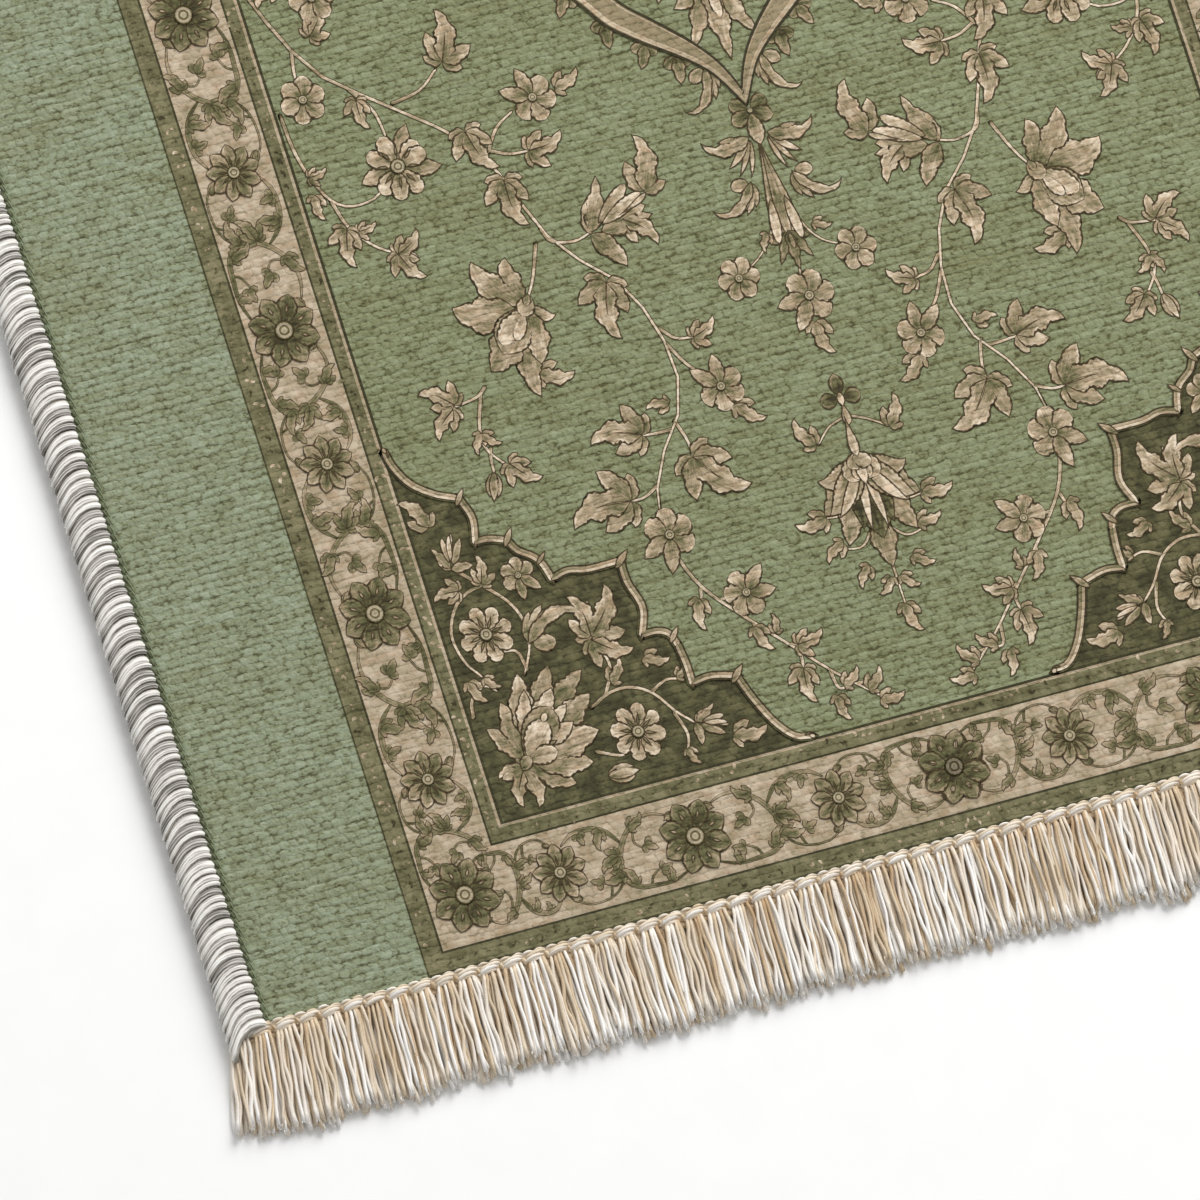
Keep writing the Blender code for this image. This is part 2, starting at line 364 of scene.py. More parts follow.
def buildCloth():
    # top: a grid whose height is top - depth * (1 - sqrt(1 - r^2)), r the distance from the row's middle
    low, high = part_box("cloth")
    rows = round((high.y - low.y) / weave["rowPitch"]) * weave["samplesPerRow"]
    y = np.linspace(low.y, high.y, rows + 1)
    x = np.linspace(low.x, high.x, weave["columns"] + 1)
    turns = y / weave["rowPitch"]
    fromMiddle = weave["roundness"] * np.abs(2 * (turns - np.floor(turns)) - 1)
    rowHeight = high.z - weave["rowDepth"] * (1 - np.sqrt(1 - fromMiddle ** 2))
    gridX, gridY = np.meshgrid(x, y)
    top = np.stack([gridX, gridY, np.repeat(rowHeight[:, None], len(x), 1)], -1)
    ends = np.stack([top[:, 0], top[:, -1]], 1)
    ends[..., 2] = 0.0
    index = np.arange(len(y) * len(x)).reshape(-1, len(x))
    under = index.size + np.arange(len(y) * 2).reshape(-1, 2)
    topFaces = np.stack([index[:-1, :-1], index[:-1, 1:], index[1:, 1:], index[1:, :-1]], -1)
    left = np.stack([index[:-1, 0], index[1:, 0], under[1:, 0], under[:-1, 0]], -1)
    right = np.stack([index[1:, -1], index[:-1, -1], under[:-1, 1], under[1:, 1]], -1)
    bottom = np.stack([under[:-1, 0], under[1:, 0], under[1:, 1], under[:-1, 1]], -1)
    front = np.concatenate([[under[0, 0], under[0, 1]], index[0, ::-1]])[None]
    back = np.concatenate([[under[-1, 1], under[-1, 0]], index[-1]])[None]
    faces = [topFaces.reshape(-1, 4), left, right, bottom, front, back]
    points = np.concatenate([top.reshape(-1, 3), ends.reshape(-1, 3)])
    piece = meshPiece("rugCloth", points, faces, chenilleCloth())
    piece.data.set_sharp_from_angle(angle=math.radians(60))
    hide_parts("cloth")
    print("cloth:", len(faces[0]), "top faces")
    return piece


rugCloth = buildCloth()


# overcast side bindings
binding = {
    "strandPitch": 3.6 * mm,    # mean step from strand to strand along the roll
    "pitchSpread": (0.72, 1.32),
    "firstPlace": 5.5 * mm,     # of a strand, from the front end of the roll
    "lastPlace": 1.5 * mm,      # from the back end
    "yarnHeight": 1.6 * mm,
    "shoulder": 0.78,           # 1 makes the ring an ellipse, less squares it
    "topSteps": 11,             # of a ring over the roll, and fewer under it
    "underSteps": 3,
    "sides": 6,
    "coreTip": 7 * mm,          # rounded length at each end of the padding
    "coreSink": (1.7 * mm, 1.5 * mm),   # the padding lies this far inside the roll, across and up
    "sweep": 8.6 * mm,          # the outer side of a strand lies this much nearer the front
    "cornerReach": 26 * mm,     # over this length the strands fan round the corner
    "paleStops": [(0.42, "#aaa6a0"), (0.56, "#e8e3db"), (0.76, "#f8f6f1")],
    "greyStops": [(0.5, "#5f5c57"), (0.68, "#aaa6a0"), (0.88, "#e8e3db")],
    "paintedValleyShade": "#8c867c",
}


def marlYarn():
    # plied marl wool: long white and cream fibres run with the yarn, and some strands carry grey ones
    material, add = newMaterial("pliedMarlWool")
    uv = add("UVMap", uv_map="yarnUv").outputs[0]
    strand, valley = (add("Attribute", attribute_name=key).outputs["Fac"] for key in ("strand", "valley"))
    seed = add("CombineXYZ", None, None, add("Math.MULTIPLY", strand, 57.0))
    fibres = add("TexNoise", Vector=add("VectorMath.MULTIPLY_ADD", uv, (90, 1500, 1), seed), Scale=1.0,
                 Detail=2.5)
    # the plies slant: 45 turns a metre along the yarn, 850 round it; their grooves carry painted shade
    twist = add("SeparateXYZ", uv)
    turns = add("Math.MULTIPLY", twist.outputs["Y"], 850.0)
    slant = add("Math.MULTIPLY_ADD", twist.outputs["X"], 45.0, turns)
    body = add("Math.MULTIPLY_ADD", add("Math.PINGPONG", slant, 0.5), 0.62, fibres)
    # a strand is grey where its number is over about 0.7, more so along some of its length
    greyness = add("MapRange", add("Math.MULTIPLY_ADD", fibres, 0.9, strand), 0.96, 1.12)
    pale = add("ValToRGB", Fac=body, stops=binding["paleStops"])
    grey = add("ValToRGB", Fac=body, stops=binding["greyStops"])
    yarn = add("Mix", {0: greyness, 6: pale, 7: grey}, data_type="RGBA").outputs[2]
    # painted shade in the valleys between the strands, mixed in by the valley attribute
    deep = add("MapRange", valley, 0.3, 0.75, None, 0.85)
    colour = add("Mix", {0: deep, 6: yarn, 7: toLinear(binding["paintedValleyShade"])}, data_type="RGBA",
                 blend_type="MULTIPLY").outputs[2]
    fibreSurface(add, colour, body, bump=0.5 * mm, roughness=0.75, specular=0.3, sheen=0.1)
    return material


def bindingCore(centre, middle, first, last, half):
    # the padding inside the wraps: a flattened tube with rounded tips, radius = sqrt(1 - (1 - end)^2)
    end = np.array([0.0, 0.3, 0.7, 1.0])
    inset = binding["coreTip"] * end
    size = np.sqrt(np.clip(1 - (1 - end) ** 2, 0.02, 1))
    y = np.concatenate([first + inset, last - inset[::-1]])
    paths = np.stack([np.full(len(y), centre), y, np.full(len(y), middle)], -1)[None]
    wide = half - binding["coreSink"][0]
    radii = wide * np.concatenate([size, size[::-1]])[None]
    return tubeRows(paths, radii, 16, (0, 0, 1), flatten=(middle - binding["coreSink"][1]) / wide)


def buildBindings():
    # each strand: a closed ring round the roll, x = centre + a cos, z = middle + b sin, with squared
    # shoulders, and y = its place - sweep * s^2, s from 0 at the inner edge to 1 outside; near a corner
    # the sweep grows or fades
    low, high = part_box("binding_left")
    rng = np.random.default_rng(5)
    material = marlYarn()
    half = (high.x - low.x) / 2
    centre = (high.x + low.x) / 2
    middle = high.z / 2
    first = low.y + binding["firstPlace"]
    last = high.y - binding["lastPlace"]
    steps = rng.uniform(*binding["pitchSpread"], 2000) * binding["strandPitch"]
    place = first + np.concatenate([[0], np.cumsum(steps)])
    place = place[place < last]
    width = np.diff(place, append=last)
    count = len(place)
    over = np.linspace(0, np.pi, binding["topSteps"] + 1)
    under = np.linspace(np.pi, 2 * np.pi, binding["underSteps"] + 2)[1:-1]
    turn = np.concatenate([over, under])
    across, upward = (np.sign(wave) * np.abs(wave) ** binding["shoulder"]
                      for wave in (np.cos(turn), np.sin(turn)))
    swell = 1 + rng.normal(0, 0.018, (count, 1))
    nearFront = np.clip(1 - (place - first) / binding["cornerReach"], 0, 1)[:, None]
    nearBack = np.clip(1 - (last - place) / binding["cornerReach"], 0, 1)[:, None]
    wide = (half - binding["yarnHeight"]) * swell * (1 + 0.1 * nearFront - 0.05 * nearBack)
    tall = (middle - binding["yarnHeight"]) * (1 - 0.2 * np.maximum(nearFront, nearBack) ** 2)
    outward = (1 - across) / 2
    # near the front the strands sweep further round the corner, near the back they straighten
    reach = binding["sweep"] * (1 + 0.5 * nearFront - 0.9 * nearBack) * (1 + rng.normal(0, 0.05, (count, 1)))
    pathY = place[:, None] + 1.2 * mm - reach * outward ** (2.8 + 0.4 * nearFront)
    pathY += rng.normal(0, 0.12 * mm, (count, 1)) * across
    paths = np.stack([centre + wide * across, pathY, middle + tall * upward], -1)
    thick = binding["yarnHeight"] * (1 + rng.normal(0, 0.06, (count, 1)))
    radii = np.broadcast_to(thick, paths.shape[:2]).copy()
    rings = tubeRows(paths, radii, binding["sides"], (0, 1, 0), closed=True)
    # widen each ring's section along Y, so that it fills the way to the next strand
    points = rings[0].reshape(count, len(turn), binding["sides"], 3)
    stretch = (0.56 * width[:, None] / thick * (1 + 0.3 * nearFront * outward))[..., None]
    points[..., 1] = pathY[:, :, None] + (points[..., 1] - pathY[:, :, None]) * stretch
    # two pale strands and a grey one in turn, with slips
    slip = np.cumsum(rng.random(count) < 0.12)
    tone = np.where((np.arange(count) + slip) % 3 == 2, rng.uniform(0.6, 1.0, count),
                    rng.uniform(0.0, 0.5, count))
    strand = np.repeat(tone, len(turn) * binding["sides"])
    # valley: painted shade, strongest on the sides of each ring that face the neighbouring strands
    valley = np.tile(np.sin(2 * np.pi * np.arange(binding["sides"]) / binding["sides"]) ** 2,
                     count * len(turn))
    core = bindingCore(centre, middle, low.y + 2 * mm, high.y - 2 * mm, half)
    wraps = joined([(points.reshape(-1, 3), rings[1], rings[2]), core])
    strand = np.concatenate([strand, np.full(len(core[0]), 0.3)])
    # the padding shows only between the wraps and is painted partly shaded
    valley = np.concatenate([valley, np.full(len(core[0]), 0.4)])
    for name, node, data in (("bindingWrapsLeft", "binding_left", wraps),
                             ("bindingWrapsRight", "binding_right", turned(wraps))):
        piece = meshPiece(name, data[0], data[1], material, {"strand": strand, "valley": valley}, data[2])
        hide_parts(node)
    print("bindings:", count, "strands a side")


buildBindings()


# sewing along the inner edge of each binding
sewing = {
    "pitch": 4.3 * mm,
    "radius": 0.5 * mm,
    "ends": (9 * mm, 8 * mm),   # from the ends of the binding to the first and last stitch
    "sink": 0.25 * mm,          # a stitch's ends lie this far under the top of the cloth
    "stops": [(0.25, "#484b34"), (1.15, "#7f8868")],
    # x from and to the binding's inner edge, length along Y, rise (mm), thickness, tone: light ones
    # slant over short dark ones
    "stitches": [(1.2, 2.4, 6.0, 0.35, 0.7, 0.85), (-0.4, 1.0, 3.6, 0.4, 1.2, 0.2)],
}


def sewingThread():
    # spun sewing thread, two greens: each stitch has its own shade and fine plies
    material, add = newMaterial("spunSewingThread")
    uv = add("UVMap", uv_map="yarnUv").outputs[0]
    strand = add("Attribute", attribute_name="strand").outputs["Fac"]
    plies = add("TexNoise", Vector=add("VectorMath.MULTIPLY", uv, (700, 2500, 1)), Scale=1.0, Detail=2.0)
    total = add("Math.MULTIPLY_ADD", plies, 0.5, strand)
    colour = add("ValToRGB", Fac=total, stops=sewing["stops"])
    fibreSurface(add, colour, plies, bump=0.2 * mm, roughness=0.8, specular=0.25)
    return material


def buildSewing():
    # a stitch is a low arc: z = cloth top - sink + rise * (1 - s^2), s from -1 to 1
    low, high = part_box("binding_left")
    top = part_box("cloth")[1].z
    rng = np.random.default_rng(11)
    place = np.arange(low.y + sewing["ends"][0], high.y - sewing["ends"][1], sewing["pitch"])
    s = np.linspace(-1, 1, 5)
    parts = []
    tones = []
    for startX, endX, drop, rise, size, tone in sewing["stitches"]:
        jitter = rng.normal(0, 0.25 * mm, (len(place), 1))
        x = high.x + (startX + endX) / 2 * mm + (endX - startX) / 2 * mm * s + jitter * 0.6
        y = place[:, None] + jitter - drop / 2 * mm * s
        z = top - sewing["sink"] + rise * mm * (1 - s ** 2) + 0 * y
        radii = sewing["radius"] * size * np.sqrt(1.02 - 0.6 * s ** 2) + 0 * y
        parts.append(tubeRows(np.stack([x + 0 * y, y, z], -1), radii, 4, (0, 0, 1)))
        tones.append(np.repeat(tone + rng.uniform(-0.12, 0.12, len(place)), len(s) * 4))
    stitches = joined(parts)
    strand = {"strand": np.concatenate(tones)}
    material = sewingThread()
    pieces = []
    for name, data in (("sewingLeft", stitches), ("sewingRight", turned(stitches))):
        piece = meshPiece(name, data[0], data[1], material, strand, data[2])
        pieces.append(piece)
    print("sewing:", 2 * len(place), "stitches a side")
    return pieces


sewingPieces = buildSewing()


# knotted header and end fringe
fringe = {
    "bundles": 66,
    "headerGap": 0.3 * mm,      # between the cloth and the header
    "headerDepth": 7.0 * mm,
    "reach": 48.6,              # length of the lowest yarns in mm
    "tuck": 3.2 * mm,           # a yarn starts this far inside the header
    "spread": 5.5 * mm,         # half-width of a bundle
    "radius": 0.9 * mm,
    "bedSwell": 1.4,            # the lowest yarns are this much thicker, so that they fill the bed
    "steps": 11,
    "sides": 4,
    "lean": -1.5 * mm,          # the tips lie this much towards -X at the front
    "cornerLean": -8.0 * mm,    # and this much more at the corner, fading over the next length
    "cornerFade": 22 * mm,
    "cornerShort": 6,           # the yarns are this many mm shorter there, fading over the next length
    "shortFade": 14 * mm,
    "frayed": 2,                # fine fibres past each cut end
    "stops": [(0.28, "#ba9c77"), (0.5, "#d9c5a6"), (0.78, "#eee3d3"), (1.0, "#fbf8f3")],
}


def cottonYarn():
    # soft spun cotton, natural white to tan: straight fibres along the yarn; the strand value carries
    # painted shade on the lower layers and near the knots, and painted light towards the tips
    material, add = newMaterial("softSpunCotton")
    uv = add("UVMap", uv_map="yarnUv").outputs[0]
    strand = add("Attribute", attribute_name="strand").outputs["Fac"]
    seed = add("CombineXYZ", None, None, add("Math.MULTIPLY", strand, 91.0))
    fibres = add("TexNoise", Vector=add("VectorMath.MULTIPLY_ADD", uv, (60, 1900, 1), seed), Scale=1.0,
                 Detail=3.0)
    total = add("Math.MULTIPLY_ADD", fibres, 0.75, strand)
    colour = add("ValToRGB", Fac=add("Math.MULTIPLY_ADD", total, 0.75, 0.02), stops=fringe["stops"])
    fibreSurface(add, colour, fibres, bump=0.3 * mm, roughness=0.7, specular=0.35, sheen=0.1,
                 sheenRoughness=0.4)
    return material


def smooth01(value):
    # 3 v^2 - 2 v^3 between 0 and 1
    value = np.clip(value, 0, 1)
    return value * value * (3 - 2 * value)


header = {
    # the plies of a knot: from x, from y, to x, to y (mm, y from the header's outer edge), base, rise,
    # radius, tone
    "plies": [
        (-4.6, 1.9, 3.4, 3.6, 3.5, 1.5, 1.0, 0.5),
        (-5.3, 2.6, 4.4, 5.0, 4.2, 1.7, 1.1, 0.74),
        (-5.2, 3.9, 5.5, 6.1, 4.7, 1.2, 1.05, 0.5),
        (-5.7, 5.3, -4.1, 1.8, 3.9, 1.1, 0.95, 0.22),
        (-5.5, 6.3, 0.2, 6.6, 5.2, 0.6, 0.66, 0.6),
        (-0.4, 6.4, 5.4, 6.7, 5.2, 0.6, 0.66, 0.42),
    ],
    # the cords under them: y, z, radius, tone
    "cords": [(1.4, 1.9, 1.8, 0.2), (4.6, 2.5, 2.4, 0.1), (6.1, 3.9, 1.5, 0.3)],
    "cordSteps": 30,
    "cordSides": 8,
}


def headerKnots(low, start, pitch, rng):
    # per bundle: three plies laid over the knot and rising to the right, a short one down its left
    # side, and a thin chain along the cloth, over three long cords. Each ply is a short arc, z = base +
    # rise * (1 - s^2)
    middle = low.x + pitch * (np.arange(fringe["bundles"]) + 0.5)
    s = np.linspace(-1, 1, 5)
    parts = []
    tones = []
    for x0, y0, x1, y1, base, rise, radius, tone in header["plies"]:
        jitter = rng.normal(0, 0.2 * mm, (len(middle), 2))
        x = middle[:, None] + ((x0 + x1) / 2 + (x1 - x0) / 2 * s) * mm + jitter[:, :1]
        y = start + ((y0 + y1) / 2 + (y1 - y0) / 2 * s + 0.5 * (1 - s ** 2)) * mm + jitter[:, 1:] + 0 * x
        z = (base + rise * (1 - s ** 2)) * mm + 0 * x
        radii = radius * mm * np.sqrt(1.05 - 0.6 * s ** 2) * (1 + rng.normal(0, 0.06, (len(middle), 1)))
        parts.append(tubeRows(np.stack([x, y, z], -1), radii, 5, (0, 0, 1)))
        tones.append(np.repeat(tone + rng.uniform(-0.16, 0.16, len(middle)), len(s) * 5))
    x = np.linspace(middle[0] - 3 * mm, middle[-1] + 3 * mm, header["cordSteps"])
    for y, z, radius, tone in header["cords"]:
        cord = np.stack([x, 0 * x + start + y * mm, 0 * x + z * mm], -1)[None]
        parts.append(tubeRows(cord, 0 * x[None] + radius * mm, header["cordSides"], (0, 0, 1)))
        tones.append(np.full(len(parts[-1][0]), tone))
    return joined(parts), np.concatenate(tones)


def fringeYarns(low, start, pitch, rng):
    # a yarn leaves its knot at slot s across the bundle and layer k up the pile; with t from 0 to 1
    # along it, x spreads to its full slot and waves like sin(k t), y runs outward, z climbs over the
    # knot and sinks to the floor
    bundles = fringe["bundles"]
    slots = np.array([-0.86, -0.52, -0.17, 0.17, 0.52, 0.86, -0.72, -0.35, 0.0, 0.35, 0.72,
                      -0.84, -0.45, -0.08, 0.3, 0.7])
    layers = np.array([0, 0, 0, 0, 0, 0, 1, 1, 1, 1, 1, 2, 2, 2, 2, 2])
    slot = slots + rng.normal(0, 0.09, (bundles, len(slots)))
    layer = np.broadcast_to(layers, slot.shape)
    middle = (low.x + pitch * (np.arange(bundles) + 0.5))[:, None] + 0 * slot
    fromCorner = middle - low.x
    length = fringe["reach"] - 1.2 * layer + rng.normal(0, 1.4, slot.shape)
    length = length + rng.normal(0, 0.9, (bundles, 1))
    length = (length - fringe["cornerShort"] * np.exp(-fromCorner / fringe["shortFade"])) * mm
    t = np.linspace(0, 1, fringe["steps"])
    fan = 0.76 + 0.28 * smooth01(t / 0.25) + 0.05 * t
    waves = sum(rng.normal(0, size * mm, slot.shape)[..., None]
                * np.sin(turns * np.pi * t + rng.uniform(0, 6.3, slot.shape)[..., None])
                for turns, size in ((1.6, 0.5), (3.2, 0.36), (5.0, 0.2))) * smooth01(t / 0.25)
    stray = rng.normal(0, 0.9 * mm, slot.shape)[..., None] * t ** 2
    stray = stray + rng.normal(0, 0.8 * mm, (bundles, 1, 1)) * t
    # near the left end of the front the yarns fan out towards the corner
    swept = fringe["lean"] + fringe["cornerLean"] * np.exp(-fromCorner / fringe["cornerFade"])
    x = middle[..., None] + slot[..., None] * fringe["spread"] * fan + waves + stray + swept[..., None] * t
    y = start + fringe["tuck"] - length[..., None] * t
    rest = (0.95 + 1.8 * layer + rng.uniform(-0.1, 0.6, slot.shape))[..., None]
    root = (2.2 + 1.0 * layer)[..., None]
    climb = (0.5 + 0.35 * layer[..., None]) * np.exp(-((t - 0.12) / 0.1) ** 2)
    droop = smooth01((t - 0.1) / 0.5)
    z = (root * (1 - droop) + rest * (1 - 0.1 * smooth01((t - 0.55) / 0.45)) * droop + climb) * mm
    z = np.maximum(z + 0.5 * np.roll(waves, 3, 1) * droop, 1.02 * fringe["radius"])
    paths = np.stack([x, y, z], -1).reshape(-1, len(t), 3)
    radii = fringe["radius"] * (0.94 + 0.1 * smooth01((t - 0.6) / 0.4))
    radii = radii * (1 + rng.normal(0, 0.1, (len(paths), 1)))
    pathLayer = np.tile(layers, bundles)
    radii *= np.where(pathLayer == 0, fringe["bedSwell"], 1.0)[:, None]
    yarns = tubeRows(paths, radii, fringe["sides"], (0, 0, 1))
    tone = rng.choice([0.1, 0.34, 0.58, 0.86], len(paths), p=[0.12, 0.24, 0.3, 0.34])
    # painted shade: the lower layers, lying under the others, are darker
    tone = np.clip(tone + 0.07 * pathLayer - 0.08 + rng.uniform(-0.1, 0.1, len(paths)), 0, 1)
    # frayed ends: fine fibres carry on a little from each blunt cut
    ends = np.repeat(paths[:, -2:], fringe["frayed"], 0)
    tip = ends[:, 1]
    away = ends[:, 1] - ends[:, 0]
    away /= np.linalg.norm(away, axis=1, keepdims=True)
    splay = rng.normal(0, 1, tip.shape) * (0.3, 0.1, 0.12)
    u = np.linspace(0, 1, 3)
    reach = rng.uniform(1.2, 3.4, (len(tip), 1)) * mm
    offset = rng.normal(0, 0.35 * mm, tip.shape) * (1, 0.2, 0.5)
    bent = away[:, None] + splay[:, None] * u[:, None]
    fibre = tip[:, None] + offset[:, None] + bent * (reach * (u - 0.4))[..., None]
    fibre[..., 2] = np.maximum(fibre[..., 2], 0.4 * mm)
    fibreRadii = 0.36 * mm * np.sqrt(1.1 - u ** 2) * np.ones((len(tip), 1))
    fray = tubeRows(fibre, fibreRadii, 3, (0, 0, 1))
    # painted light towards the tips and on the frayed ends, painted shade near the knot
    along = tone[:, None] + 0.22 * smooth01((t - 0.55) / 0.45) - 0.16 * (1 - smooth01(t / 0.3))
    frayTone = np.repeat(np.clip(tone + 0.35, 0, 1), fringe["frayed"] * len(u) * 3)
    return joined([yarns, fray]), np.concatenate([np.repeat(along.ravel(), fringe["sides"]), frayTone])


def buildFringes():
    # the front end's header and yarns, and the same turned round for the back end
    low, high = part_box("fringe_front")
    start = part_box("cloth")[0].y - fringe["headerGap"] - fringe["headerDepth"]
    rng = np.random.default_rng(23)
    pitch = (high.x - low.x) / fringe["bundles"]
    knots, knotTones = headerKnots(low, start, pitch, rng)
    yarns, yarnTones = fringeYarns(low, start, pitch, rng)
    material = cottonYarn()
    for name, data, tones, node in (("headerKnotsFront", knots, knotTones, None),
                                    ("headerKnotsBack", turned(knots), knotTones, None),
                                    ("fringeYarnsFront", yarns, yarnTones, "fringe_front"),
                                    ("fringeYarnsBack", turned(yarns), yarnTones, "fringe_back")):
        piece = meshPiece(name, data[0], data[1], material, {"strand": tones}, data[2])
        if node:
            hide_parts(node)
    print("fringe:", len(knots[0]), "knot points and", len(yarns[0]), "yarn points an end")


buildFringes()


# the dyed pattern: tables in mm for the quarter where x and y are below 0, mirrored to the other quarters
pattern = {
    "height": 6.04,       # of the lowest dyed area, just over the ribs
    "stemLift": 0.11,     # mm over it
    "leafLift": 0.14,
    "ringLift": 0.7,
    "step": 0.012,        # from one petal to the next one over it
    "middle": 4.0,        # x of the medallion's middle line
    "stretch": 1.17,      # motifs are this much longer along Y
    "stemSteps": 24,
    "ridge": 0.02,        # the middle of a strip stands this much higher, and a flat area is this thick
    "tips": (0.8, 1.5),   # half-widths that the two ends of a strip reach on
    "solid": 5.0,         # distance from the edge that a flat area carries, past any dark yarn
    "ringSides": 14,
    "ink": [(0.0, "#38331f"), (0.12, "#484226"), (0.25, "#5b5a3a"), (0.4, "#746d4d"), (0.55, "#928467"),
            (0.7, "#ac9b80"), (0.85, "#c5b499"), (1.0, "#e0d1ba")],
    "groundInk": [(0.0, "#37341d"), (0.12, "#46442a"), (0.2, "#575436"), (0.3, "#696547"),
                  (0.42, "#7d7858"), (0.62, "#9c8f72"), (0.8, "#b8a890"), (1.0, "#d3c5ae")],
}

bladeShapes = {   # swell, blunt, lobes, bite, taper: see blades
    "leaf": (0.78, 0.6, 3, 0.42, 0.5),
    "lobe": (0.9, 0.56, 2, 0.26, 0.5),
    "plumed": (1.1, 0.5, 3, 0.3, 0.6),
    "petal": (1.25, 0.5, 0, 0, 0),
    "tipped": (1.35, 0.5, 0, 0, 0.4),
    "wavy": (1.3, 0.46, 3, 0.16, 0),
    "point": (1.0, 0.55, 2, 0.14, 0.6),
    "ogive": (0.95, 0.6, 0, 0, 0.5),
    "spike": (0.7, 1.0, 0, 0, 0),
    "wedge": (2.2, 0.7, 0, 0, 0),
}


def around(shape, count, start, length, width, tone, turn=0.0):
    # the same petal repeated evenly round the middle
    return [(shape, turn + 360 * i / count, start, length, width, 0.0, tone) for i in range(count)]


def fan(shape, turns, start, length, width, bend, tone):
    # a pair of blades for each angle, one on each side, the outer ones first; bend is towards the stalk
    rows = []
    for turn in turns:
        rows += [(shape, turn * side, start, length, width, bend * side, tone) for side in (-1, 1)]
    return rows


